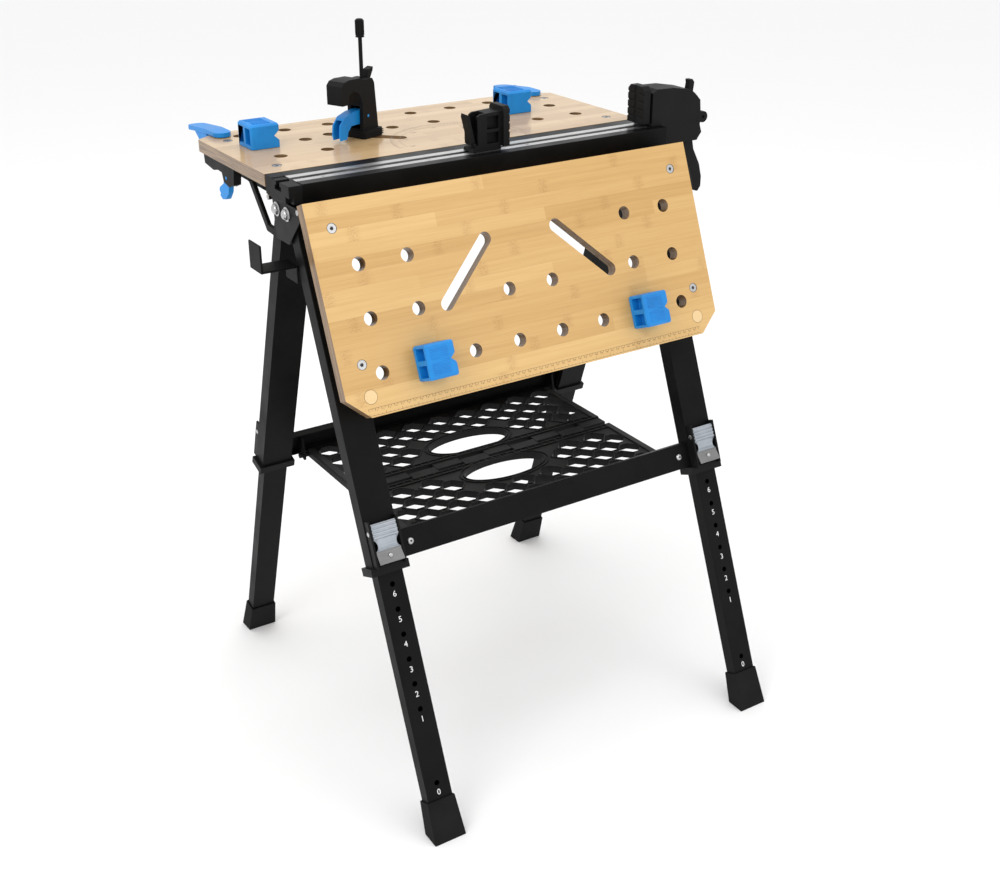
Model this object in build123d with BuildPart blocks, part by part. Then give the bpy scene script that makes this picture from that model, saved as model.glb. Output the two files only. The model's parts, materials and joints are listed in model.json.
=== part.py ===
from build123d import *
from math import atan2, cos, degrees, radians, sin, tan
import os

os.makedirs("parts", exist_ok=True)

# ---- overall stance -------------------------------------------------------
foot_x = 290.5
foot_y = 330.0
table_z = 887.7
front_lean = 22.3
rear_lean = 18.5
leg_pivot_z = 843.0
front_pivot_y = leg_pivot_z * tan(radians(front_lean)) - foot_y
rear_pivot_y = foot_y - leg_pivot_z * tan(radians(rear_lean))
frame_centre_x = 31.0
frame_centre_y = 40.765

# ---- clamping rail --------------------------------------------------------
rail_left = -305.0
rail_right = 325.0
rail_front = -8.0
rail_rear = 68.0
rail_bottom = 858.0
rail_wall = 2.5
track_front = 10.0
track_rear = 46.0
track_depth = 15.0
track_gap = 0.2
slot_front = 21.5
slot_rear = 32.5
head_front = 17.0
head_rear = 37.0
head_low = 875.5
head_high = 881.5
cap_length = 20.0
track_screw_radius = 2.6
track_screw_depth = 3.0

# ---- leg-top brackets and pivots ------------------------------------------
plate_outer = 319.5
plate_inner = 261.5
plate_thick = 3.0
bracket_web = 2.0
bracket_web_front = -6.0
bracket_web_rear = 66.0
ear_x = 301.0
pivot_radius = 5.0
pivot_clear = 0.06
bolt_head_radius = 8.0
bolt_head_height = 4.5
hinge_radius = 4.0
hinge_y_front = -17.3
hinge_y_rear = 77.3
hinge_z = 852.6

# ---- legs -----------------------------------------------------------------
tube_width = 50.0
tube_depth = 25.0
tube_wall = 2.0
tube_start = 400.0
inner_width = 40.0
inner_depth = 20.0
inner_wall = 1.8
inner_start = 22.0
inner_end = 585.0
pin_hole_radius = 4.0
pin_holes = (81.0, 192.5, 230.0, 267.0, 304.0, 341.0, 378.0, 435.5)
collar_width = 60.0
collar_depth = 32.0
collar_low = 396.0
collar_high = 408.0
collar_gap = 0.4
cheek_x = 20.6
cheek_thick = 3.0
cheek_low = 406.0
cheek_high = 475.0
cheek_out = 25.0
lever_pivot_s = 457.0
lever_pivot_out = 19.0
lever_pin_radius = 2.5
lever_half = 20.0
lever_thick = 3.0
lever_low = 411.0
lever_high = 470.0
lock_pin_s = 435.5
lock_pin_radius = 3.4
lock_pin_end = 11.0
foot_top_s = 57.0
foot_base_width = 52.6
foot_base_depth = 30.0
foot_top_width = 45.0
foot_top_depth = 26.0
foot_below = 14.0

# ---- shelf ----------------------------------------------------------------
shelf_rail_low_s = 409.0
shelf_rail_high_s = 449.0
shelf_rail_depth = 12.0
shelf_rail_wall = 2.0
tray_pivot_z = 387.5
tray_front_pivot_y = -154.0
tray_rear_pivot_y = 183.5
tray_pin_radius = 4.0
tray_pin_out = 253.0
tray_ear_x = 244.0
tray_ear_thick = 4.0
tray_half = 238.0
tray_top = 394.0
tray_bottom = 384.0
tray_back = 6.0
tray_seam_y = 14.75
finger_root = 15.0
finger_tip = 5.0
finger_gap = 1.0
finger_count = 10
oval_half_x = 72.5
oval_half_y = 33.0
oval_offset = 55.0
oval_rim = 9.0
hex_pitch_x = 52.0
hex_pitch_y = 20.5
hex_half_long = 21.5
hex_half_flat = 7.0
hex_half_high = 15.5
hex_edge = 6.0

# ---- worktop panels -------------------------------------------------------
panel_half = 325.0
panel_thick = 18.0
front_panel_y = -47.0
front_panel_z = 872.7
front_panel_length = 297.0
chamfer_x = 33.0
chamfer_v = 30.0
rear_panel_y = 70.0
rear_panel_length = 271.0
rear_chamfer_x = 38.0
rear_chamfer_v = 28.0
dog_hole_radius = 10.0
hole_columns = (37.5, 112.5, 187.5, 262.5)
front_rows = (90.5, 165.5, 240.5)
rear_rows = (82.0, 157.0, 232.0)
slot_radius = 10.0
slot_near = (61.0, 89.0)
slot_far = (142.0, 168.0)
screw_x = 290.0
front_screw_v = (37.6, 224.0)
rear_screw_v = (35.0, 212.0)
screw_head_radius = 7.0
screw_head_depth = 3.0
screw_radius = 3.0
screw_length = 24.0

# ---- panel hinge arms -----------------------------------------------------
arm_half = 10.0
arm_depth = 20.0
arm_end_v = 242.0
arm_rear_end_v = 262.0
knuckle_radius = 9.0
knuckle_v = 7.3
bumper_v0 = 204.0
bumper_v1 = 226.0
bumper_depth = 56.3
strut_pin_v = 88.0
strut_pin_w = -29.0
strut_pin_radius = 3.0

# ---- rear panel struts ----------------------------------------------------
strut_x0 = 305.0
strut_x1 = 311.0
strut_half_width = 5.5
strut_bend = (106.0, 800.0)
strut_foot = (86.0, 799.0)

# ---- bench dogs -----------------------------------------------------------
dog_width = 46.0
dog_length = 50.0
dog_height = 36.0
dog_peg_radius = 9.93
dog_peg_length = 17.0
dog_groove = 9.0
dog_pocket = 12.0
dog_pocket_depth = 14.0
dog_wall = 3.0

# ---- clamps under the rear panel ------------------------------------------
grip_x0 = 312.5
grip_x1 = 324.5
paddle_x = 287.0
paddle_half = 14.0
paddle_pivot = (356.0, 852.0)
paddle_pin_radius = 3.0

# ---- sliding jaw ----------------------------------------------------------
jaw_front = 14.0
jaw_rear = 40.0
jaw_cheek = 4.0
jaw_pad_x0 = 28.0
jaw_pad_x1 = 39.0
jaw_pad_front = 7.0
jaw_pad_rear = 47.0
jaw_pad_low = 893.0
jaw_pad_split = 7.0
jaw_pad_high = 951.0
jaw_lever_pivot = (-17.0, 899.0)
jaw_lever_pin = 2.0

# ---- trigger head at the rail's right end ---------------------------------
head_y0 = 5.0
head_y1 = 51.0
bar_y0 = 20.0
bar_y1 = 34.0
bar_z0 = 903.0
bar_z1 = 923.0
bar_clear = 0.5
bar_end = 372.0
trigger_y0 = 18.0
trigger_y1 = 36.0
trigger_pivot = (391.0, 862.0)
release_pivot = (393.0, 925.0)
latch_pivot = (398.0, 887.0)
head_pin_radius = 2.5

# ---- hold-down clamp on the rear panel ------------------------------------
hold_x = -103.0
hold_y = 200.0
hold_turn = 23.0
hold_half = 15.0
hold_stem_radius = 9.0
hold_stem_length = 26.0
hold_rod_radius = 3.0
hold_rod_u = -2.0
hold_rod_low = 899.0
hold_rod_seat = 939.0
hold_rod_top = 1036.0
hold_knob_radius = 6.0
hold_knob_top = 1061.0
hold_trigger_half = 8.0
hold_trigger_pivot = (4.0, 921.0)
hold_release_pivot = (-10.0, 966.0)
hold_pin_radius = 2.0

front_angle = radians(front_lean)
rear_angle = radians(rear_lean)


def leg_plane(side, along):
    """Cross-section plane of a leg, a distance along it from the floor."""
    angle = front_angle if side < 0 else rear_angle
    direction = (0, -side * sin(angle), cos(angle))
    origin = (0, side * foot_y + along * direction[1], along * direction[2])
    return Plane(origin=origin, x_dir=(1, 0, 0), z_dir=direction)


def leg_point(side, along, out):
    """Y and Z of a point beside a leg's centre line, out from the stance."""
    angle = front_angle if side < 0 else rear_angle
    y = side * foot_y - side * along * sin(angle) + side * out * cos(angle)
    return (y, along * cos(angle) + out * sin(angle))


def pivot_distance(side):
    """Distance along a leg from the floor to its top pivot."""
    return leg_pivot_z / cos(front_angle if side < 0 else rear_angle)


def front_point(v, w):
    """Y and Z of a point v down the front panel and w out of its face."""
    y = front_panel_y - v * sin(front_angle) - w * cos(front_angle)
    return (y, front_panel_z - v * cos(front_angle) + w * sin(front_angle))


def rear_point(v, w):
    """Y and Z of a point v behind the rear panel's front edge and w above."""
    return (rear_panel_y + v, table_z + w)


def save(part, name):
    """Label one finished sub-part, set it about the frame's origin and write it."""
    placed = part.moved(Location((-frame_centre_x, -frame_centre_y, 0)))
    placed.label = name
    export_step(placed, "parts/" + name + ".step")


# ---- clamping rail --------------------------------------------------------
with BuildPart() as rail_housing:
    with BuildSketch(Plane.YZ.offset(rail_left)):
        with BuildLine():
            Polyline(
                (rail_front, rail_bottom),
                (rail_front, table_z),
                (rail_rear, table_z),
                (rail_rear, rail_bottom),
                close=True,
            )
        make_face()
        with BuildLine(mode=Mode.PRIVATE) as pocket:
            Polyline(
                (track_front, table_z),
                (track_front, table_z - track_depth),
                (track_rear, table_z - track_depth),
                (track_rear, table_z),
                close=True,
            )
        make_face(pocket.line.edges(), mode=Mode.SUBTRACT)
        with BuildLine(mode=Mode.PRIVATE) as hollow:
            Polyline(
                (rail_front + rail_wall, rail_bottom),
                (rail_front + rail_wall, table_z - rail_wall),
                (track_front - rail_wall, table_z - rail_wall),
                (track_front - rail_wall, table_z - track_depth - rail_wall),
                (track_rear + rail_wall, table_z - track_depth - rail_wall),
                (track_rear + rail_wall, table_z - rail_wall),
                (rail_rear - rail_wall, table_z - rail_wall),
                (rail_rear - rail_wall, rail_bottom),
                close=True,
            )
        make_face(hollow.line.edges(), mode=Mode.SUBTRACT)
    extrude(amount=rail_right - rail_left)
save(rail_housing.part, "rail_housing")

t_slot_points = (
    (slot_front, table_z),
    (slot_front, head_high),
    (head_front, head_high),
    (head_front, head_low),
    (head_rear, head_low),
    (head_rear, head_high),
    (slot_rear, head_high),
    (slot_rear, table_z),
)
track_screw_x = (-262.0, -95.0, 75.0, 250.0)

with BuildPart() as t_track:
    with BuildSketch(Plane.YZ.offset(rail_left)):
        with BuildLine():
            Polyline(
                (track_front + track_gap, table_z - track_depth + track_gap),
                (track_front + track_gap, table_z),
                *t_slot_points,
                (track_rear - track_gap, table_z),
                (track_rear - track_gap, table_z - track_depth + track_gap),
                close=True,
            )
        make_face()
    extrude(amount=rail_right - rail_left)
    with BuildSketch(Plane.XY.offset(table_z)):
        with Locations(*[(x, (track_front + slot_front) / 2) for x in track_screw_x]):
            Circle(track_screw_radius)
    extrude(amount=-track_screw_depth, mode=Mode.SUBTRACT)
save(t_track.part, "t_track")

with BuildPart() as track_screws:
    with BuildSketch(Plane.XY.offset(table_z - track_screw_depth)):
        with Locations(*[(x, (track_front + slot_front) / 2) for x in track_screw_x]):
            Circle(track_screw_radius - pivot_clear)
    extrude(amount=track_screw_depth * 0.8)
save(track_screws.part, "track_screws")

with BuildPart() as rail_end_cap:
    with BuildSketch(Plane.YZ.offset(rail_left - cap_length)):
        with BuildLine():
            Polyline(
                (rail_front, rail_bottom + 3),
                (rail_front, table_z - 1),
                (track_front, table_z - 1),
                *[(y, z - 1) for y, z in t_slot_points],
                (track_rear, table_z - 1),
                (track_rear, table_z),
                (rail_rear, table_z),
                (rail_rear, rail_bottom + 3),
                close=True,
            )
        make_face()
    extrude(amount=cap_length)
    with BuildSketch(Plane.YZ.offset(rail_left - cap_length)):
        with BuildLine():
            Polyline(
                (rail_front, rail_bottom),
                (rail_front, rail_bottom + 12),
                (rail_front + 12, rail_bottom + 12),
                (rail_front + 12, rail_bottom),
                close=True,
            )
        make_face()
    extrude(amount=cap_length / 3, mode=Mode.SUBTRACT)
save(rail_end_cap.part, "rail_end_cap")


# ---- leg-top brackets -----------------------------------------------------
def bracket(side):
    """U bracket under one end of the rail, with ears for the panel hinges."""
    plates = (
        (
            plate_outer - plate_thick,
            ((-27, rail_bottom), (62, rail_bottom), (56, 800), (14, 800), (-27, 843)),
        ),
        (
            plate_inner,
            ((-27, rail_bottom), (87, rail_bottom), (87, 843), (56, 800), (14, 800), (-27, 843)),
        ),
        (
            ear_x,
            (
                (60, rail_bottom - bracket_web),
                (60, rail_bottom),
                (87, rail_bottom),
                (87, 843),
                (68, 843),
                (68, rail_bottom - bracket_web),
            ),
        ),
    )
    with BuildPart() as body:
        with BuildSketch(Plane.XY.offset(rail_bottom - bracket_web)):
            with Locations(
                (side * (plate_outer + plate_inner) / 2, (bracket_web_front + bracket_web_rear) / 2)
            ):
                Rectangle(plate_outer - plate_inner, bracket_web_rear - bracket_web_front)
        extrude(amount=bracket_web)
        for plate_x, outline in plates:
            start = plate_x if side > 0 else -plate_x - plate_thick
            with BuildSketch(Plane.YZ.offset(start)):
                with BuildLine():
                    Polyline(*outline, close=True)
                make_face()
            extrude(amount=plate_thick)
        with BuildSketch(Plane.YZ.offset(side * plate_inner)):
            with Locations((front_pivot_y, leg_pivot_z), (rear_pivot_y, leg_pivot_z)):
                Circle(pivot_radius + pivot_clear)
            with Locations((hinge_y_front, hinge_z), (hinge_y_rear, hinge_z)):
                Circle(hinge_radius + pivot_clear)
        extrude(amount=side * (plate_outer - plate_inner), mode=Mode.SUBTRACT)
    return body.part


save(bracket(-1), "bracket_left")
save(bracket(1), "bracket_right")

with BuildPart() as hinge_pins:
    for side in (-1, 1):
        with BuildSketch(Plane.YZ.offset(side * plate_inner)):
            with Locations((front_pivot_y, leg_pivot_z), (rear_pivot_y, leg_pivot_z)):
                Circle(pivot_radius)
            with Locations((hinge_y_front, hinge_z), (hinge_y_rear, hinge_z)):
                Circle(hinge_radius)
        extrude(amount=side * (plate_outer - plate_inner))
        with BuildSketch(Plane.YZ.offset(side * plate_outer)):
            with Locations((front_pivot_y, leg_pivot_z), (rear_pivot_y, leg_pivot_z)):
                RegularPolygon(bolt_head_radius, 6)
        extrude(amount=side * bolt_head_height)
save(hinge_pins.part, "hinge_pins")


# ---- upper leg tubes ------------------------------------------------------
def upper_leg(side, hand):
    """Outer leg tube with a round top about its pivot."""
    reach = pivot_distance(side)
    with BuildPart() as body:
        with BuildSketch(leg_plane(side, tube_start)):
            with Locations((hand * foot_x, 0)):
                Rectangle(tube_width, tube_depth)
        extrude(amount=reach - tube_start)
        with BuildSketch(Plane.YZ.offset(hand * foot_x)):
            with Locations(leg_point(side, reach, 0)):
                Circle(tube_depth / 2)
        extrude(amount=tube_width / 2, both=True)
        with BuildSketch(leg_plane(side, tube_start)):
            with Locations((hand * foot_x, 0)):
                Rectangle(tube_width - 2 * tube_wall, tube_depth - 2 * tube_wall)
        extrude(amount=reach - tube_start + tube_depth, mode=Mode.SUBTRACT)
        with BuildSketch(Plane.YZ.offset(hand * foot_x)):
            with Locations(leg_point(side, reach, 0)):
                Circle(pivot_radius + pivot_clear)
        extrude(amount=tube_width, both=True, mode=Mode.SUBTRACT)
        lock_centre = leg_point(side, lock_pin_s, 0)
        lock_out = leg_plane(side, 0).y_dir * side
        with BuildSketch(
            Plane(
                origin=(hand * foot_x, lock_centre[0], lock_centre[1]),
                x_dir=(1, 0, 0),
                z_dir=lock_out,
            )
        ):
            Circle(pin_hole_radius + 1)
        extrude(amount=tube_depth, mode=Mode.SUBTRACT)
    return body.part


def lower_leg(side, hand):
    """Inner leg tube with its row of height holes."""
    with BuildPart() as body:
        with BuildSketch(leg_plane(side, inner_start)):
            with Locations((hand * foot_x, 0)):
                Rectangle(inner_width, inner_depth)
                Rectangle(
                    inner_width - 2 * inner_wall, inner_depth - 2 * inner_wall, mode=Mode.SUBTRACT
                )
        extrude(amount=inner_end - inner_start)
        for hole_s in pin_holes:
            centre = leg_point(side, hole_s, 0)
            with BuildSketch(
                Plane(
                    origin=(hand * foot_x, centre[0], centre[1]),
                    x_dir=(1, 0, 0),
                    z_dir=leg_plane(side, 0).y_dir * side,
                )
            ):
                Circle(pin_hole_radius)
            extrude(amount=inner_depth, mode=Mode.SUBTRACT)
    return body.part


def rubber_foot(side, hand):
    """Wedge foot whose sole is cut level with the floor."""
    with BuildPart() as body:
        with BuildSketch(leg_plane(side, -foot_below)):
            with Locations((hand * foot_x, 0)):
                Rectangle(foot_base_width, foot_base_depth)
        with BuildSketch(leg_plane(side, foot_top_s)):
            with Locations((hand * foot_x, 0)):
                Rectangle(foot_top_width, foot_top_depth)
        loft()
        split(bisect_by=Plane.XY, keep=Keep.TOP)
        with BuildSketch(leg_plane(side, inner_start)):
            with Locations((hand * foot_x, 0)):
                Rectangle(inner_width, inner_depth)
        extrude(amount=foot_top_s, mode=Mode.SUBTRACT)
    return body.part


def lock_collars(side):
    """Plastic collars with lever cheeks, one for each leg of a pair."""
    with BuildPart() as body:
        for hand in (-1, 1):
            with BuildSketch(leg_plane(side, collar_low)):
                with Locations((hand * foot_x, 0)):
                    Rectangle(collar_width, collar_depth)
                    Rectangle(
                        inner_width + 2 * collar_gap,
                        inner_depth + 2 * collar_gap,
                        mode=Mode.SUBTRACT,
                    )
            extrude(amount=collar_high - collar_low)
            with BuildSketch(leg_plane(side, tube_start)):
                with Locations((hand * foot_x, 0)):
                    Rectangle(tube_width, tube_depth)
            extrude(amount=collar_high, mode=Mode.SUBTRACT)
            with BuildSketch(leg_plane(side, cheek_low)):
                for cheek in (-1, 1):
                    with Locations(
                        (
                            hand * foot_x + cheek * (cheek_x + cheek_thick / 2),
                            side * (tube_depth / 2 + cheek_out) / 2,
                        )
                    ):
                        Rectangle(cheek_thick, cheek_out - tube_depth / 2)
            extrude(amount=cheek_high - cheek_low)
            with BuildSketch(Plane.YZ.offset(hand * foot_x)):
                with Locations(leg_point(side, lever_pivot_s, lever_pivot_out)):
                    Circle(lever_pin_radius + pivot_clear)
            extrude(amount=tube_width / 2 - 0.4, both=True, mode=Mode.SUBTRACT)
    return body.part


def lock_lever(side, hand):
    """Spring lever with its lock pin and its pivot pin."""
    with BuildPart() as body:
        with BuildSketch(Plane.YZ.offset(hand * foot_x)):
            with BuildLine():
                Polyline(
                    leg_point(side, lever_high, lever_pivot_out + 1.5),
                    leg_point(side, lever_pivot_s - 6, lever_pivot_out + 3.2),
                    leg_point(side, lever_low + 14, lever_pivot_out + 1.5),
                    leg_point(side, lever_low, lever_pivot_out + 7),
                    leg_point(side, lever_low + 1, lever_pivot_out + 10),
                    leg_point(side, lever_low + 16, lever_pivot_out + 4.5),
                    leg_point(side, lever_pivot_s - 4, lever_pivot_out + 6.2),
                    leg_point(side, lever_high, lever_pivot_out + 4.5),
                    close=True,
                )
            make_face()
        extrude(amount=lever_half, both=True)
        with BuildSketch(Plane.YZ.offset(hand * foot_x)):
            with Locations(leg_point(side, lever_pivot_s, lever_pivot_out)):
                Circle(lever_pin_radius + 1.8)
        extrude(amount=lever_half, both=True)
        with BuildSketch(Plane.YZ.offset(hand * foot_x)):
            with Locations(leg_point(side, lever_pivot_s, lever_pivot_out)):
                Circle(lever_pin_radius)
        extrude(amount=cheek_x + cheek_thick, both=True)
        pin_base = leg_point(side, lock_pin_s, lock_pin_end)
        with BuildSketch(
            Plane(
                origin=(hand * foot_x, pin_base[0], pin_base[1]),
                x_dir=(1, 0, 0),
                z_dir=leg_plane(side, 0).y_dir * side,
            )
        ):
            Circle(lock_pin_radius)
        extrude(amount=lever_pivot_out + 3 - lock_pin_end)
    return body.part


def shelf_rail(side):
    """Cross rail between a pair of legs, with ears for the tray's pins."""
    ear_y = tray_front_pivot_y if side < 0 else tray_rear_pivot_y
    half = foot_x - tube_width / 2
    with BuildPart() as body:
        with BuildSketch(leg_plane(side, shelf_rail_low_s)):
            Rectangle(2 * half, shelf_rail_depth)
        extrude(amount=shelf_rail_high_s - shelf_rail_low_s)
        with BuildSketch(leg_plane(side, shelf_rail_low_s + shelf_rail_wall)):
            with Locations((0, -side * shelf_rail_wall)):
                Rectangle(2 * (half - shelf_rail_wall), shelf_rail_depth)
        extrude(
            amount=shelf_rail_high_s - shelf_rail_low_s - 2 * shelf_rail_wall, mode=Mode.SUBTRACT
        )
        for hand in (-1, 1):
            start = tray_ear_x if hand > 0 else -tray_ear_x - tray_ear_thick
            with BuildSketch(Plane.YZ.offset(start)):
                with BuildLine():
                    Polyline(
                        leg_point(side, shelf_rail_low_s + 1, shelf_rail_depth / 2 - 1),
                        leg_point(side, shelf_rail_high_s - 1, shelf_rail_depth / 2 - 1),
                        leg_point(side, shelf_rail_high_s - 6, -shelf_rail_depth / 2 - 2),
                        (ear_y - side * 7, tray_pivot_z + 5),
                        (ear_y - side * 7, tray_pivot_z - 6),
                        leg_point(side, shelf_rail_low_s + 1, -shelf_rail_depth / 2),
                        close=True,
                    )
                make_face()
                with Locations((ear_y, tray_pivot_z)):
                    Circle(tray_pin_radius + pivot_clear, mode=Mode.SUBTRACT)
            extrude(amount=tray_ear_thick)
    return body.part


for pair_name, pair_side in (("front", -1), ("rear", 1)):
    for hand_name, leg_hand in (("left", -1), ("right", 1)):
        tail = pair_name + "_" + hand_name
        save(upper_leg(pair_side, leg_hand), "leg_" + tail)
        save(lower_leg(pair_side, leg_hand), "leg_extension_" + tail)
        save(rubber_foot(pair_side, leg_hand), "foot_" + tail)
        save(lock_lever(pair_side, leg_hand), "lock_lever_" + tail)
    save(lock_collars(pair_side), "lock_collars_" + pair_name)
    save(shelf_rail(pair_side), "shelf_rail_" + pair_name)

with BuildPart() as tool_hook:
    with BuildSketch(Plane.XZ.offset(-35)):
        with BuildLine():
            Polyline(
                (-315.5, 748),
                (-318.5, 748),
                (-318.5, 771),
                (-371, 771),
                (-371, 811),
                (-368, 811),
                (-368, 774),
                (-315.5, 774),
                close=True,
            )
        make_face()
    extrude(amount=38)
save(tool_hook.part, "tool_hook")


# ---- shelf trays ----------------------------------------------------------
def hexagon_centres(inward, pivot_y):
    """Staggered hole centres over one tray, clear of its oval opening."""
    oval_y = tray_seam_y - inward * oval_offset
    centres = []
    for row in range(8):
        y = pivot_y + inward * (hex_half_high + 4 + row * hex_pitch_y)
        inside = abs(tray_seam_y - y) > hex_half_high + 13
        shift = 0.5 * hex_pitch_x * (row % 2)
        for column in range(-4, 5):
            x = column * hex_pitch_x + shift
            reach_x = (abs(x) - hex_half_long * 0.6) / (oval_half_x + oval_rim)
            reach_y = (abs(y - oval_y) - hex_half_high * 0.6) / (oval_half_y + oval_rim)
            outside_oval = max(reach_x, 0) ** 2 + max(reach_y, 0) ** 2 > 1
            if inside and outside_oval and abs(x) < tray_half - hex_edge - hex_half_long:
                centres.append((x, y))
    return centres


def shelf_tray(side):
    """Half of the folding shelf, hung from one cross rail."""
    inward = -side
    pivot_y = tray_front_pivot_y if side < 0 else tray_rear_pivot_y
    root_y = pivot_y - inward * tray_back
    edge_y = tray_seam_y - inward * finger_root
    finger_pitch = 2 * (tray_half - finger_gap) / finger_count
    first = 0 if side < 0 else 1
    with BuildPart() as body:
        with BuildSketch(Plane.XY.offset(tray_bottom)):
            with Locations((0, (root_y + edge_y) / 2)):
                Rectangle(2 * tray_half, abs(edge_y - root_y))
            with Locations(
                *[
                    (
                        -tray_half + finger_gap + (index + 0.5) * finger_pitch,
                        tray_seam_y - inward * (finger_root - finger_tip) / 2,
                    )
                    for index in range(first, finger_count, 2)
                ]
            ):
                Rectangle(finger_pitch - finger_gap, finger_root + finger_tip)
            with Locations((0, tray_seam_y - inward * oval_offset)):
                Ellipse(oval_half_x, oval_half_y, mode=Mode.SUBTRACT)
            with BuildLine(mode=Mode.PRIVATE) as hexagon:
                Polyline(
                    (hex_half_long, 0),
                    (hex_half_flat, hex_half_high),
                    (-hex_half_flat, hex_half_high),
                    (-hex_half_long, 0),
                    (-hex_half_flat, -hex_half_high),
                    (hex_half_flat, -hex_half_high),
                    close=True,
                )
            hole_face = make_face(hexagon.line.edges(), mode=Mode.PRIVATE)
            with Locations(*hexagon_centres(inward, pivot_y)):
                add(hole_face, mode=Mode.SUBTRACT)
        extrude(amount=tray_top - tray_bottom)
        with BuildSketch(Plane.YZ.offset(-tray_pin_out)):
            with Locations((pivot_y, tray_pivot_z)):
                Circle(tray_pin_radius)
        extrude(amount=tray_pin_out - tray_half)
        with BuildSketch(Plane.YZ.offset(tray_pin_out)):
            with Locations((pivot_y, tray_pivot_z)):
                Circle(tray_pin_radius)
        extrude(amount=tray_half - tray_pin_out)
    return body.part


save(shelf_tray(-1), "tray_front")
save(shelf_tray(1), "tray_rear")


# ---- worktop panels -------------------------------------------------------
def dog_hole_points(rows):
    """Centres of the bench dog holes of one panel, as x and v."""
    points = []
    for sign in (-1, 1):
        points += [(sign * hole_columns[2], rows[0]), (sign * hole_columns[3], rows[0])]
        points += [(sign * hole_columns[0], rows[1]), (sign * hole_columns[2], rows[1])]
        points += [(sign * hole_columns[3], rows[1])]
        points += [(sign * column, rows[2]) for column in hole_columns]
    return points


def panel(plane, direction, length, cut_x, cut_v, rows, screws):
    """Worktop board with dog holes, two slanted slots and screw seats."""
    slot_x0, slot_v0 = slot_near
    slot_x1, slot_v1 = slot_far
    slot_tilt = degrees(atan2(slot_v1 - slot_v0, slot_x1 - slot_x0))
    slot_length = ((slot_v1 - slot_v0) ** 2 + (slot_x1 - slot_x0) ** 2) ** 0.5
    slot_x = (slot_x0 + slot_x1) / 2
    slot_v = (slot_v0 + slot_v1) / 2
    screw_points = [(hand * screw_x, direction * v) for hand in (-1, 1) for v in screws]
    with BuildPart() as body:
        with BuildSketch(plane):
            with BuildLine():
                Polyline(
                    (-panel_half, 0),
                    (-panel_half, direction * (length - cut_v)),
                    (-panel_half + cut_x, direction * length),
                    (panel_half - cut_x, direction * length),
                    (panel_half, direction * (length - cut_v)),
                    (panel_half, 0),
                    close=True,
                )
            make_face()
            with Locations(*[(x, direction * v) for x, v in dog_hole_points(rows)]):
                Circle(dog_hole_radius, mode=Mode.SUBTRACT)
            for hand in (-1, 1):
                with Locations((hand * slot_x, direction * slot_v)):
                    SlotCenterToCenter(
                        slot_length,
                        2 * slot_radius,
                        rotation=hand * direction * slot_tilt,
                        mode=Mode.SUBTRACT,
                    )
            with Locations(*screw_points):
                Circle(screw_radius + pivot_clear, mode=Mode.SUBTRACT)
        extrude(amount=-panel_thick)
        with BuildSketch(plane):
            with Locations(*screw_points):
                Circle(screw_head_radius + pivot_clear)
        extrude(amount=-screw_head_depth, mode=Mode.SUBTRACT)
    return body.part


def panel_screws(plane, direction, screws):
    """Countersunk panel screws, two for each hinge arm."""
    screw_points = [(hand * screw_x, direction * v) for hand in (-1, 1) for v in screws]
    with BuildPart() as body:
        with BuildSketch(plane):
            with Locations(*screw_points):
                Circle(screw_radius)
        extrude(amount=-screw_length)
        with BuildSketch(plane.offset(-0.3)):
            with Locations(*screw_points):
                Circle(screw_head_radius)
        extrude(amount=-screw_head_depth + 0.3)
        with BuildSketch(plane):
            with Locations(*screw_points):
                Circle(screw_head_radius)
        extrude(amount=-0.3, mode=Mode.SUBTRACT)
        with BuildSketch(plane.offset(-0.3)):
            with Locations(*screw_points):
                RegularPolygon(screw_radius - 0.3, 6)
        extrude(amount=-screw_head_depth * 0.7, mode=Mode.SUBTRACT)
    return body.part


front_plane = Plane(
    origin=(0, front_panel_y, front_panel_z),
    x_dir=(1, 0, 0),
    z_dir=(0, -cos(front_angle), sin(front_angle)),
)
rear_plane = Plane(origin=(0, rear_panel_y, table_z), x_dir=(1, 0, 0), z_dir=(0, 0, 1))

save(
    panel(
        front_plane, -1, front_panel_length, chamfer_x, chamfer_v, front_rows, front_screw_v
    ),
    "front_panel",
)
save(
    panel(
        rear_plane,
        1,
        rear_panel_length,
        rear_chamfer_x,
        rear_chamfer_v,
        rear_rows,
        rear_screw_v,
    ),
    "rear_panel",
)
save(panel_screws(front_plane, -1, front_screw_v), "front_panel_screws")
save(panel_screws(rear_plane, 1, rear_screw_v), "rear_panel_screws")


def hinge_arms(place, end_v, screws, has_bumper, plane, direction):
    """Pair of bars behind a panel that turn on the leg-top brackets."""
    under = -panel_thick
    back = -panel_thick - arm_depth
    with BuildPart() as body:
        for hand in (-1, 1):
            with BuildSketch(Plane.YZ.offset(hand * screw_x)):
                with BuildLine():
                    Polyline(
                        place(-1, under),
                        place(end_v, under),
                        place(end_v, back + 6),
                        place(end_v - 8, back),
                        place(knuckle_v + 8, back - 3),
                        place(-1, back + 4),
                        close=True,
                    )
                make_face()
                with Locations(place(knuckle_v, hinge_z - table_z)):
                    Circle(knuckle_radius)
                if has_bumper:
                    with BuildLine():
                        Polyline(
                            place(bumper_v0, back + 1),
                            place(bumper_v1, back + 1),
                            place(bumper_v1 - 3, -bumper_depth),
                            place(bumper_v0 + 3, -bumper_depth),
                            close=True,
                        )
                    make_face()
                with Locations(place(knuckle_v, hinge_z - table_z)):
                    Circle(hinge_radius + pivot_clear, mode=Mode.SUBTRACT)
                if not has_bumper:
                    with Locations(place(strut_pin_v, strut_pin_w)):
                        Circle(strut_pin_radius + pivot_clear, mode=Mode.SUBTRACT)
            extrude(amount=arm_half, both=True)
        with BuildSketch(plane):
            with Locations(*[(hand * screw_x, direction * v) for hand in (-1, 1) for v in screws]):
                Circle(screw_radius + pivot_clear)
        extrude(amount=-screw_length - 1, mode=Mode.SUBTRACT)
    return body.part


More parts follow.
